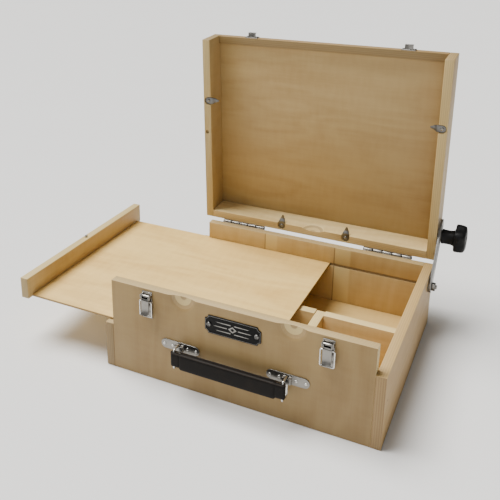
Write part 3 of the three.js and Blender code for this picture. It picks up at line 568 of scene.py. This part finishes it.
def make_board(node, shift=0.0):
    """One eased plywood board, with its own stretch of grain."""
    grain, ply_axis, plies, tint_and_painted_light = BOARDS[node]
    mesh = eased_mesh(node, bpy.context.scene.paint_box_wood.eased_edge)
    seams, knots = SEAMS.get(node, ()), KNOTS.get(node, ())
    offset = 0.0 if seams or knots else shift
    thickness = lay_out_grain(mesh, BODY_OF[node] in ON_LID, grain, ply_axis, offset)
    wood = plywood(node + "_ply", thickness, plies, tint_and_painted_light, seams, knots, EDGE_LIGHT_AND_SHADE.get(node, EDGE_USUAL))
    add_piece(node + "_wood", mesh, BODY_OF[node], wood, [node], 30.0)


def make_boards(body):
    """A body's boards, each cut from another stretch of grain."""
    for order, node in enumerate(node for node in BOARDS if BODY_OF[node] == body):
        make_board(node, GRAIN_STEP * order + GRAIN_START)


# ---- fittings ---------------------------------------------
def make_eased(nodes, material, width=None):
    """Copies of CAD fittings with rounded edges."""
    width = width or bpy.context.scene.paint_box_metal.eased_edge
    for node in nodes:
        mesh = eased_mesh(node, width)
        add_piece(node + "_fitting", mesh, BODY_OF[node], material, [node])


def pocketed(mesh, low, high):
    """The mesh with a box-shaped pocket sunk into it."""
    def pocket(bm):
        outline = ((low.x, low.z), (high.x, low.z), (high.x, high.z), (low.x, high.z))
        ring_strip(bm, [[Vector((x, y, z)) for x, z in outline] for y in (low.y, high.y)])

    return carved(mesh, mesh_from("pocket", pocket))


def carved(mesh, cutter):
    """A new mesh: the first less the second."""
    body, tool = bpy.data.objects.new("body", mesh), bpy.data.objects.new("tool", cutter)
    for helper in (body, tool):
        bpy.context.scene.collection.objects.link(helper)
    boolean = body.modifiers.new("Carve", "BOOLEAN")
    boolean.object = tool
    boolean.solver = "EXACT"
    bpy.context.view_layer.update()
    graph = bpy.context.evaluated_depsgraph_get()
    result = bpy.data.meshes.new_from_object(body.evaluated_get(graph))
    for helper in (body, tool):
        bpy.data.objects.remove(helper)
    return result


def make_levers():
    """The latch levers, each with a pocket in its upper end, and painted shade there and in the crease.
    """
    nickel = bpy.context.scene.paint_box_metal.nickel
    for side in SIDES:
        node = f"latch_{side}_lever"
        low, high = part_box(node)
        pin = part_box(f"latch_{side}_pin")
        middle_z = (pin[0].z + pin[1].z) / 2
        face_y = (pin[0].y + pin[1].y) / 2 - 2.6 * MM
        slot_low = Vector((low.x + 0.9 * MM, face_y - MM, middle_z - 2.0 * MM))
        slot_high = Vector((high.x - 0.9 * MM, face_y + 1.5 * MM, middle_z + 1.7 * MM))
        mesh = pocketed(eased_mesh(node, 0.25 * MM), slot_low, slot_high)
        # The pocket's floor and the crease by the bail are painted near-black, a painted shade.
        margin = Vector((0.05, 0.05, 0.05)) * MM
        deep = (slot_low - margin + Y * 1.12 * MM, slot_high + margin)
        crease = (
            Vector((low.x - MM, low.y - MM, BAIL_AT + 1.6 * MM)),
            Vector((high.x + MM, high.y, BAIL_AT + 2.1 * MM)),
        )
        metal = plated(node + "_nickel", nickel, 0.16, painted_shade_boxes=(deep, crease))
        add_piece(node + "_shaped", mesh, BODY_OF[node], metal, [node])


def make_wire(node, corners, bend, radius, material):
    """A closed wire loop, bent at its corners."""
    path = rounded_path(corners, bend)
    mesh = mesh_from(node, lambda bm: tube(bm, path, radius))
    add_piece(node + "_wire", mesh, BODY_OF[node], material, [node])


def make_bails(material):
    """The two latches' wire loops, which hang flat against the front."""
    for side in SIDES:
        node = f"latch_{side}_bail"
        low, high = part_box(node)
        radius, y = (high.y - low.y) / 2, (low.y + high.y) / 2
        left, right, foot, top = low.x + radius, high.x - radius, low.z + radius, high.z - radius
        outline = ((left, top), (right, top), (right, foot), (left, foot))
        make_wire(node, [Vector((x, y, z)) for x, z in outline], 1.5 * MM, radius, material)


def make_rings(material):
    """The two wire rings that hang the grip from its plates, square to the front."""
    for side in SIDES:
        node = f"handle_{side}_ring"
        low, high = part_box(node)
        radius, x = (high.x - low.x) / 2, (low.x + high.x) / 2
        back, front, foot, top = high.y - radius, low.y + radius, low.z + radius, high.z - radius
        outline = ((back, top), (front, top), (front, foot), (back, foot))
        make_wire(node, [Vector((x, y, z)) for y, z in outline], 3.2 * MM, radius, material)


# ---- knob -------------------------------------------------
LOBES = 5
LOBE_SWELL, LOBE_SINK = 0.085, 0.03
KNOB_SIDES = 90
HUB_RADIUS = 10.8 * MM
KNOB_AXIS = Vector(JOINTS["knob_turn"]["pos_m"])
# Along the knob: share of its length, share of the hub's or the star's radius, how much of the
# lobes shows.
HUB_PROFILE = (
    (0.0, 0.80, 0), (0.0, 0.95, 0), (0.015, 1, 0), (0.07, 1, 0), (0.10, 0.96, 0), (0.30, 0.95, 0),
    (0.42, 0.98, 0.02), (0.50, 1.10, 0.08),
)
STAR_PROFILE = (
    (0.525, 0.70, 0.45), (0.535, 0.85, 0.9), (0.55, 0.925, 1.0), (0.60, 0.95, 1.0),
    (0.72, 0.95, 1.0), (0.86, 0.925, 1.0), (0.93, 0.885, 0.95), (0.965, 0.80, 0.8),
    (0.985, 0.66, 0.4), (0.992, 0.45, 0.1), (0.992, 0.30, 0), (0.975, 0.27, 0), (0.972, 0.1, 0),
)


def build_knob(bm):
    """A star knob: a waisted hub that swells into five lobes, with a shallow dished face."""
    low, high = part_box("stay_knob")
    reach = high.x - low.x
    radius = (high.y - low.y + high.z - low.z) / 4
    profile = [(share, HUB_RADIUS * size, lobing) for share, size, lobing in HUB_PROFILE]
    profile += [(share, radius * size, lobing) for share, size, lobing in STAR_PROFILE]
    rings = []
    for share, size, lobing in profile:
        centre = Vector((low.x + share * reach, KNOB_AXIS.y, KNOB_AXIS.z))
        ring = []
        for k in range(KNOB_SIDES):
            a = 2 * math.pi * k / KNOB_SIDES
            swell = 1 + lobing * (LOBE_SWELL * math.cos(LOBES * a) - LOBE_SINK)
            ring.append(centre + (Y * math.cos(a) + Z * math.sin(a)) * size * swell)
        rings.append(ring)
    ring_strip(bm, rings)


# ---- grip -------------------------------------------------
GRIP_STRAP = 9 * MM  # each end strap, from the seam to where the outline starts to turn
GRIP_CORNER = 6 * MM  # roundness of the lower corners
GRIP_STEP = 0.9 * MM  # length over which the body steps down to an end strap
GRIP_SECTION = (0.55, 0.30)  # how square the section is, across and up


def grip_sizes():
    low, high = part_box("handle_grip")
    return low, high, (low + high) / 2, (high.y - low.y) / 2


def build_grip(bm):
    """A padded leather body between two slimmer end straps, with round lower corners."""
    low, high, middle, half = grip_sizes()
    reach = (high.x - low.x) / 2
    straight = reach - half
    seam = straight - GRIP_STRAP
    stations, around = 150, 44
    corner = GRIP_CORNER
    rings = []
    for i in range(stations + 1):
        # closer together at the ends, where the strap turns
        share = math.sin((i / stations - 0.5) * math.pi)
        x = share * reach * 0.9995
        over = max(0.0, abs(x) - straight) / half
        thick = half * math.sqrt(max(1 - over * over, 0.0008))
        from_end = max(0.0, corner - (reach - abs(x))) / corner
        drop = corner * (1 - math.sqrt(max(0.0, 1 - from_end * from_end)))
        strap = min(1.0, max(0.0, (abs(x) - seam) / GRIP_STEP))
        top, bottom = high.z - 0.6 * MM * strap, low.z + max(drop, 2.4 * MM * strap)
        groove = math.exp(-(((abs(x) - seam) / MM) ** 2))
        crown = 0.93 + 0.07 * (1 - min(1.0, abs(x) / seam) ** 2) if abs(x) < seam else 0.84
        wide = thick * crown * (1 - 0.24 * groove)
        tall = (top - bottom) / 2 * (1 - 0.02 * groove)
        ring = []
        for k in range(around):
            a = 2 * math.pi * k / around
            y, z = (math.copysign(abs(part) ** power, part)
                    for part, power in zip((math.cos(a), math.sin(a)), GRIP_SECTION))
            ring.append(Vector((middle.x + x, middle.y + wide * y, (top + bottom) / 2 + tall * z)))
        rings.append(ring)
    ring_strip(bm, rings)


def grip_outline(inset, steps=16):
    """The strap's outline seen from above, drawn in by inset."""
    low, high, middle, half = grip_sizes()
    straight = (high.x - low.x) / 2 - half
    radius = half - inset
    points = []
    for sign in (1, -1):
        for k in range(steps + 1):
            a = -math.pi / 2 + math.pi * k / steps
            x = middle.x + sign * (straight + radius * math.cos(a))
            points.append((x, middle.y + sign * radius * math.sin(a)))
    return points


def build_piping(bm):
    """A welt cord round the grip's upper edge."""
    _, high, _, half = grip_sizes()
    radius = bpy.context.scene.paint_box_handle.piping
    path = [Vector((x, y, high.z - radius * 0.9)) for x, y in grip_outline(half * 0.16)]
    tube(bm, path, radius, 10)


# ---- nameplate --------------------------------------------
PLATE_SCOOP = 4.5 * MM  # radius of the scooped corners
BORDER = (1.0 * MM, 1.25 * MM)  # the raised border's two edges, in from the plate's
# The device, in millimetres: a lozenge, the hole in it, and each bar's rise, start and end.
LOZENGE = ((-5.5, 0), (0, -4.2), (5.5, 0), (0, 4.2))
LOZENGE_HOLE = ((-3.2, 0), (0, -2.2), (3.2, 0), (0, 2.2))
BARS = ((0, 8, 25), (5.6, 3, 22), (-5.6, 3, 22))


def scalloped(inset, width, height, steps=8):
    """A rectangle with scooped corners, drawn in by inset, as (x, z) pairs about its middle."""
    points = []
    radius = PLATE_SCOOP + inset
    first = math.degrees(math.asin(inset / radius))
    for sx, sz, start in ((1, -1, 180), (1, 1, 270), (-1, 1, 0), (-1, -1, 90)):
        for k in range(steps + 1):
            a = math.radians(start - first - (90 - 2 * first) * k / steps)
            x, z = sx * width / 2 + radius * math.cos(a), sz * height / 2 + radius * math.sin(a)
            points.append((x, z))
    return points


def prism(bm, outline, back, front, hole=None):
    """A raised shape on the front: an outline of (x, z) pairs between two depths, maybe with a hole."""
    sides = [(outline, back), (outline, front)] + ([(hole, front), (hole, back)] if hole else [])
    rings = [[Vector((x, y, z)) for x, z in ring] for ring, y in sides]
    ring_strip(bm, rings, closed=bool(hole))


def build_plate_relief(bm):
    """A raised border, and a plain device of a lozenge between tapered bars."""
    low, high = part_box("nameplate")
    middle = (low + high) / 2
    back, front = low.y + 0.05 * MM, low.y - 0.22 * MM

    def moved(points, unit=1.0, way=1):
        return [(middle.x + way * x * unit, middle.z + z * unit) for x, z in points]

    outer, inner = (scalloped(inset, high.x - low.x, high.z - low.z) for inset in BORDER)
    prism(bm, moved(outer), back, front, moved(inner))
    prism(bm, moved(LOZENGE, MM), back, front, moved(LOZENGE_HOLE, MM))
    for way in (-1, 1):
        for rise, start, end in BARS:
            bar = [(start, rise - 0.6), (end - 2, rise - 0.3), (end, rise), (end - 2, rise + 0.3),
                   (start, rise + 0.6), (start - 1.2, rise)]
            prism(bm, moved(bar, MM, way), back, front)


# ---- screws, rivets and stitches, repeated by geometry nodes ----
def scatter_tree(name):
    """A tree that sets a head on each point, faced by its attribute and turned at random."""
    tree = bpy.data.node_groups.new(name, "GeometryNodeTree")
    kinds = {
        "Geometry": "Geometry", "Head": "Object", "Size": "Float", "Turn": "Float", "Seed": "Int",
        "Finish": "Material",
    }
    for label, kind in kinds.items():
        tree.interface.new_socket(label, in_out="INPUT", socket_type="NodeSocket" + kind)
    tree.interface.new_socket("Geometry", in_out="OUTPUT", socket_type="NodeSocketGeometry")
    nodes = tree.nodes
    given, result = nodes.new("NodeGroupInput"), nodes.new("NodeGroupOutput")
    head = nodes.new("GeometryNodeObjectInfo")
    facing = nodes.new("GeometryNodeInputNamedAttribute")
    facing.data_type = "FLOAT_VECTOR"
    facing.inputs["Name"].default_value = "facing"
    align = nodes.new("FunctionNodeAlignRotationToVector")
    align.axis = "Z"
    chance = nodes.new("FunctionNodeRandomValue")
    chance.data_type = "FLOAT"
    spin = nodes.new("FunctionNodeAxisAngleToRotation")
    spin.inputs["Axis"].default_value = (0, 0, 1)
    turned = nodes.new("FunctionNodeRotateRotation")
    turned.rotation_space = "LOCAL"
    place = nodes.new("GeometryNodeInstanceOnPoints")
    real = nodes.new("GeometryNodeRealizeInstances")
    paint = nodes.new("GeometryNodeSetMaterial")
    wires = (
        (given.outputs["Head"], head.inputs["Object"]),
        (facing.outputs["Attribute"], align.inputs["Vector"]),
        (given.outputs["Turn"], chance.inputs[3]),
        (given.outputs["Seed"], chance.inputs["Seed"]),
        (chance.outputs[1], spin.inputs["Angle"]),
        (align.outputs[0], turned.inputs[0]),
        (spin.outputs[0], turned.inputs[1]),
        (given.outputs["Geometry"], place.inputs["Points"]),
        (head.outputs["Geometry"], place.inputs["Instance"]),
        (turned.outputs[0], place.inputs["Rotation"]),
        (given.outputs["Size"], place.inputs["Scale"]),
        (place.outputs[0], real.inputs[0]),
        (real.outputs[0], paint.inputs["Geometry"]),
        (given.outputs["Finish"], paint.inputs["Material"]),
        (paint.outputs[0], result.inputs[0]),
    )
    for start, end in wires:
        tree.links.new(start, end)
    return tree


def scatter(name, head_mesh, spots, body, material, size=1.0, turn=math.tau, seed=7):
    """One plain mesh of a head repeated at each spot, a point and the way it faces."""
    points = bpy.data.meshes.new(name + "_points")
    points.from_pydata([tuple(spot) for spot, facing in spots], [], [])
    facings = points.attributes.new("facing", "FLOAT_VECTOR", "POINT")
    for entry, (spot, facing) in zip(facings.data, spots):
        entry.vector = facing
    carrier = bpy.data.objects.new(name + "_carrier", points)
    head = bpy.data.objects.new(name + "_head", head_mesh)
    for helper in (carrier, head):
        bpy.context.scene.collection.objects.link(helper)
    tree = scatter_tree(name + "_repeat")
    modifier = carrier.modifiers.new("Repeat", "NODES")
    modifier.node_group = tree
    values = {"Head": head, "Size": size, "Turn": turn, "Seed": seed, "Finish": material}
    for item in tree.interface.items_tree:
        if item.in_out == "INPUT" and item.name in values:
            modifier[item.identifier] = values[item.name]
    bpy.context.view_layer.update()
    graph = bpy.context.evaluated_depsgraph_get()
    mesh = bpy.data.meshes.new_from_object(carrier.evaluated_get(graph))
    carrier.modifiers.remove(modifier)
    for helper in (carrier, head):
        bpy.data.objects.remove(helper)
    mesh.name = name
    return add_piece(name, mesh, body, material)


def lathe(bm, profile, sides=20):
    """A turned shape about Z from (radius, height) pairs, closed at both ends."""
    rings = []
    for radius, height in profile:
        rings.append([
            Vector((radius * math.cos(a), radius * math.sin(a), height))
            for a in (2 * math.pi * k / sides for k in range(sides))
        ])
    ring_strip(bm, rings)


def screw_head(radius, height, cross=True):
    """A domed head with a cross recess, its underside at zero."""
    def build(bm):
        profile = [(radius * 0.96, -0.3 * MM), (radius, 0.0), (radius * 0.98, height * 0.3)]
        for k in range(1, 5):
            a = math.radians(15 + 16 * k)
            profile.append((radius * math.cos(a), height * (0.3 + 0.7 * math.sin(a))))
        profile.append((radius * 0.05, height))
        lathe(bm, profile)

    mesh = mesh_from("screw_head", build)
    if not cross:
        return mesh

    def recess(bm):
        wide, long = radius * 0.13, radius * 0.62
        outline = []
        for k in range(4):
            turn = Matrix.Rotation(math.pi / 2 * k, 3, "Z")
            outline += [turn @ Vector(p) for p in ((long, -wide, 0), (long, wide, 0), (wide, wide, 0))]
        rings = [[point + Z * z for point in outline] for z in (height * 0.35, height * 2)]
        ring_strip(bm, rings)

    return carved(mesh, mesh_from("recess", recess))


def stitch_shape(size):
    """One stitch, a slim bead along X, a little flatter than round."""
    def build(bm):
        rings = []
        for k in range(7):
            a = math.pi * (0.06 + 0.88 * k / 6)
            x, r = -size / 2 * math.cos(a), 0.33 * MM * math.sin(a) ** 0.6
            turns = [math.tau * j / 8 for j in range(8)]
            rings.append([Vector((x, r * math.cos(b), r * math.sin(b) * 0.7)) for b in turns])
        ring_strip(bm, rings)

    return mesh_from("stitch", build)


# ---- operators --------------------------------------------
class PAINTBOX_OT_tray(bpy.types.Operator):
    """Make the tray's plywood boards"""

    bl_idname = "paint_box.tray"
    bl_label = "Tray"

    def execute(self, context):
        make_boards("tray")
        return {"FINISHED"}


class PAINTBOX_OT_palette(bpy.types.Operator):
    """Make the sliding palette, its end rail and its pin"""

    bl_idname = "paint_box.palette"
    bl_label = "Palette"

    def execute(self, context):
        make_boards("palette")
        steel = plated("pin_steel", context.scene.paint_box_metal.steel, 0.3)
        make_eased(["palette_pin"], steel, 0.1 * MM)
        return {"FINISHED"}


class PAINTBOX_OT_lid(bpy.types.Operator):
    """Make the lid's plywood frame and panel"""

    bl_idname = "paint_box.lid"
    bl_label = "Lid"

    def execute(self, context):
        make_boards("lid")
        return {"FINISHED"}


class PAINTBOX_OT_clips(bpy.types.Operator):
    """Make the spring clips that hold a painting board in the lid"""

    bl_idname = "paint_box.clips"
    bl_label = "Panel clips"

    def execute(self, context):
        metal = context.scene.paint_box_metal
        spring = plated("clip_steel", [0.45 * part for part in metal.steel], 0.2)
        screw = plated("clip_screw_nickel", metal.nickel, 0.15)
        make_eased(nodes_named("panel_clip"), spring, 0.15 * MM)
        make_eased(nodes_named("clip_screw"), screw, 0.1 * MM)
        return {"FINISHED"}


class PAINTBOX_OT_hinges(bpy.types.Operator):
    """Make the two butt hinges and their screws"""

    bl_idname = "paint_box.hinges"
    bl_label = "Hinges"

    def execute(self, context):
        metal = context.scene.paint_box_metal
        # The joints between the knuckles get painted shade.
        nickel = plated("hinge_nickel", metal.nickel, 0.2, brushed=(0.05, 1, 1), painted_shade_boxes=knuckle_joints())
        make_eased(nodes_named("hinge_"), nickel)
        head = screw_head(3.1 * MM, 0.9 * MM)
        for leaf, body in (("base_leaf", "tray"), ("lid_leaf", "lid")):
            spots = []
            for side in SIDES:
                low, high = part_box(f"hinge_{side}_{leaf}")
                for share in (0.12, 0.5, 0.88):
                    spot = Vector((low.x + share * (high.x - low.x), BACK_FACE_Y, 0))
                    if body == "tray":
                        spot.z = low.z + LEAF_SCREW_RISE
                        spots.append((spot, Y))
                    else:
                        spot.z = 2 * HINGE_AT.z - (TRAY_LEAF_LOW + LEAF_SCREW_RISE)
                        spots.append((OPEN_LID @ spot, OPEN_LID.to_3x3() @ Y))
            scatter(
                f"hinge_screws_{body}", head, spots, body, nickel, metal.screw_size,
                math.tau, metal.seed,
            )
        return {"FINISHED"}


def knuckle_joints():
    """Thin boxes round the joints between a hinge's knuckles, painted near-black as the shade in the
    gaps.
    """
    half = Vector((0.75, 3.4, 3.4)) * MM
    boxes = []
    for side in SIDES:
        low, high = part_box(f"hinge_{side}_base_leaf")
        for k in range(6):
            middle = Vector((low.x + (high.x - low.x) * k / 5, HINGE_AT.y, HINGE_AT.z))
            boxes.append((middle - half, middle + half))
    return boxes


class PAINTBOX_OT_stay(bpy.types.Operator):
    """Make the slotted stay, its pivot and its clamp knob"""

    bl_idname = "paint_box.stay"
    bl_label = "Lid stay"

    def execute(self, context):
        metal = context.scene.paint_box_metal
        steel = plated("stay_steel", metal.steel, 0.24, brushed=(1, 0.08, 0.08))
        nickel = plated("bolt_nickel", metal.nickel, 0.2)
        brass = plated("insert_brass", (0.55, 0.40, 0.15), 0.3)
        make_eased(["stay_arm"], steel, 0.35 * MM)
        make_eased(["knob_stud"], steel, 0.2 * MM)
        pivot = ["stay_spacer", "stay_pivot_bolt", "stay_pivot_nut"]
        make_eased([*pivot, "knob_washer"], nickel, 0.3 * MM)
        make_eased(["knob_insert"], brass, 0.2 * MM)
        knob = mesh_from("knob_star", build_knob)
        add_piece("knob_star", knob, "knob", moulded_black("knob_plastic"),
                  ["stay_knob"], 40.0)
        return {"FINISHED"}


class PAINTBOX_OT_latches(bpy.types.Operator):
    """Make the two draw latches and their screws"""

    bl_idname = "paint_box.latches"
    bl_label = "Latches"

    def execute(self, context):
        metal = context.scene.paint_box_metal
        nickel = plated("latch_nickel", metal.nickel, 0.17)
        names = ("plate", "pin", "keeper")
        make_eased([f"latch_{side}_{name}" for side in SIDES for name in names], nickel)
        make_levers()
        make_bails(plated("bail_wire", metal.wire, 0.12))
        head = screw_head(1.7 * MM, 0.7 * MM)
        on_lid, on_tray = [], []
        for side in SIDES:
            keeper = SHUT_LID @ middle_of(f"latch_{side}_keeper")
            low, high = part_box(f"latch_{side}_plate")
            for reach in (-8 * MM, 8 * MM):
                shut = Vector((keeper.x + reach, FRONT_FACE_Y, HINGE_AT.z + KEEPER_SCREW_RISE))
                on_lid.append((OPEN_LID @ shut, OPEN_LID.to_3x3() @ -Y))
            on_tray.append((Vector(((low.x + high.x) / 2, FRONT_FACE_Y, low.z + 3.4 * MM)), -Y))
        scatter("keeper_screws", head, on_lid, "lid", nickel, metal.screw_size)
        scatter("latch_screws", head, on_tray, "tray", nickel, metal.screw_size)
        return {"FINISHED"}


class PAINTBOX_OT_handle(bpy.types.Operator):
    """Make the leather grip, its rings, plates, rivets and stitches"""

    bl_idname = "paint_box.handle"
    bl_label = "Handle"

    def execute(self, context):
        metal = context.scene.paint_box_metal
        nickel = plated("handle_nickel", metal.nickel, 0.2)
        make_eased(["handle_left_plate", "handle_right_plate"], nickel, 0.3 * MM)
        make_rings(plated("ring_wire", metal.wire, 0.14))
        grip = mesh_from("grip_leather", build_grip)
        leather = hide("grip_hide")
        add_piece("grip_leather", grip, "grip", leather, ["handle_grip"], 60.0)
        piping = mesh_from("grip_piping", build_piping)
        worn = hide("piping_hide", 0.55)
        add_piece("grip_piping", piping, "grip", worn, (), 60.0)
        rivets = []
        for side in SIDES:
            middle = middle_of(f"handle_{side}_plate")
            for reach in (-22.5, -10.5, 10.5, 22.5):
                rivets.append((Vector((middle.x + reach * MM, FRONT_FACE_Y - 0.2 * MM, middle.z)), -Y))
        bright = plated("rivet_heads", metal.wire, 0.2)
        dome = screw_head(1.9 * MM, 1.2 * MM, False)
        scatter("handle_rivets", dome, rivets, "tray", bright)
        low, high, middle, half = grip_sizes()
        pitch = 1.45 * context.scene.paint_box_handle.stitch
        reach = (high.x - low.x) / 2 - half - GRIP_STRAP - 2 * MM
        count = int(2 * reach / pitch)
        stitches = []
        for row in (low.z + 3.2 * MM, high.z - 3.4 * MM):
            for i in range(count + 1):
                x = middle.x - reach + 2 * reach * i / count
                for sign in (-1, 1):
                    stitches.append((Vector((x, middle.y + sign * half * 0.80, row)), sign * Y))
        shape = stitch_shape(context.scene.paint_box_handle.stitch)
        scatter("grip_stitches", shape, stitches, "grip", thread("grip_thread"),
                1.0, 0.0)
        return {"FINISHED"}


class PAINTBOX_OT_nameplate(bpy.types.Operator):
    """Make the enamelled plate with its plain raised device"""

    bl_idname = "paint_box.nameplate"
    bl_label = "Nameplate"

    def execute(self, context):
        metal = context.scene.paint_box_metal
        bright = plated("plate_relief", (0.34, 0.33, 0.31), 0.4)
        dull = plated("screw_gunmetal", (0.22, 0.215, 0.208), 0.16)
        make_eased(["nameplate"], enamel("plate_enamel"), 0.25 * MM)
        relief = mesh_from("nameplate_relief", build_plate_relief)
        add_piece("nameplate_relief", relief, "tray", bright)
        screw = screw_head(3.0 * MM, 1.8 * MM)
        for side in SIDES:
            node = f"nameplate_screw_{side}"
            middle = middle_of(node)
            spot = Vector((middle.x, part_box("nameplate")[0].y - 0.25 * MM, middle.z))
            piece = scatter(node + "_head", screw, [(spot, -Y)], "tray", dull, 1.0,
                            math.tau, metal.seed + len(side))
            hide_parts(node)
        return {"FINISHED"}


# Where the camera stands and how it looks, in metres and degrees.
CAMERA_AT = Vector((0.2988, -0.8186, 0.5757))
CAMERA_TURN = (90 - 17.84, 0.0, 26.33)
CAMERA_LENS = 50.54
CAMERA_SHIFT = (0.0830, -0.2134)


def put_light(name, kind, place, aim, power, shade, **shape):
    """A soft light at a place, turned to face a point."""
    lamp = bpy.data.lights.new(name, kind)
    lamp.energy, lamp.color = power, shade
    for setting, value in shape.items():
        setattr(lamp, setting, value)
    light = bpy.data.objects.new(name, lamp)
    light.location = place
    light.rotation_euler = (Vector(aim) - Vector(place)).to_track_quat("-Z", "Y").to_euler()
    bpy.context.scene.collection.objects.link(light)


class PAINTBOX_OT_stage(bpy.types.Operator):
    """Set up the camera, the floor and the lights"""

    bl_idname = "paint_box.stage"
    bl_label = "Stage"

    def execute(self, context):
        stage = context.scene.paint_box_stage
        camera = bpy.data.cameras.new("camera")
        camera.lens = CAMERA_LENS
        camera.sensor_width = 36.0
        camera.shift_x, camera.shift_y = CAMERA_SHIFT
        viewer = bpy.data.objects.new("camera", camera)
        viewer.location = CAMERA_AT
        viewer.rotation_euler = [math.radians(angle) for angle in CAMERA_TURN]
        context.scene.collection.objects.link(viewer)
        context.scene.camera = viewer
        bpy.ops.mesh.primitive_plane_add(size=90.0, location=(0, 0, -0.0005))
        floor = context.object
        floor.name = "floor"
        r = Recipe("floor_paint")
        grain = r.noise(r.place(), 4.0, 3.0)
        pale = [part * 0.98 for part in stage.floor]
        r.finish(r.mix(grain, pale, stage.floor), 0.75 + grain * 0.1)
        floor.data.materials.append(r.material)
        put_light(
            "key_light", "SUN", (-0.42, 0, 1), (0, 0, 0), stage.key, (1.0, 0.985, 0.955),
            angle=math.radians(38),
        )
        put_light(
            "front_light", "AREA", (0.2, -1.9, 1.3), (0, 0.15, 0.25), stage.fill * 2.5,
            (1.0, 0.99, 0.97), size=1.2,
        )
        put_light(
            "left_light", "AREA", (-1.9, -0.9, 1.0), (0, 0, 0.15), stage.fill, (0.97, 0.985, 1.0),
            size=1.0,
        )
        world = context.scene.world or bpy.data.worlds.new("studio")
        context.scene.world = world
        world.use_nodes = True
        surround = world.node_tree.nodes["Background"].inputs
        surround[0].default_value = (1.0, 1.0, 1.0, 1.0)
        surround[1].default_value = stage.surround
        return {"FINISHED"}


OPERATORS = (
    PAINTBOX_OT_stage, PAINTBOX_OT_tray, PAINTBOX_OT_palette, PAINTBOX_OT_lid, PAINTBOX_OT_clips,
    PAINTBOX_OT_hinges, PAINTBOX_OT_stay, PAINTBOX_OT_latches, PAINTBOX_OT_handle,
    PAINTBOX_OT_nameplate,
)
GROUPS = {
    "paint_box_wood": PaintBoxWood, "paint_box_metal": PaintBoxMetal,
    "paint_box_handle": PaintBoxHandle, "paint_box_stage": PaintBoxStage,
}


class PAINTBOX_PT_sidebar(bpy.types.Panel):
    """The paint box's settings and its makers"""

    bl_label = "Paint Box"
    bl_space_type = "VIEW_3D"
    bl_region_type = "UI"
    bl_category = "Paint Box"

    def draw(self, context):
        for name, group in GROUPS.items():
            column = self.layout.column()
            column.label(text=group.__doc__)
            for field in group.__annotations__:
                column.prop(getattr(context.scene, name), field)
        for operator in OPERATORS:
            self.layout.operator(operator.bl_idname)


def register():
    for cls in (*GROUPS.values(), *OPERATORS, PAINTBOX_PT_sidebar):
        bpy.utils.register_class(cls)
    for name, group in GROUPS.items():
        setattr(bpy.types.Scene, name, PointerProperty(type=group))


def unregister():
    for name in GROUPS:
        delattr(bpy.types.Scene, name)
    for cls in reversed((*GROUPS.values(), *OPERATORS, PAINTBOX_PT_sidebar)):
        bpy.utils.unregister_class(cls)


def main():
    register()
    for operator in OPERATORS:
        group, name = operator.bl_idname.split(".")
        getattr(getattr(bpy.ops, group), name)()


if __name__ == "__main__":
    main()
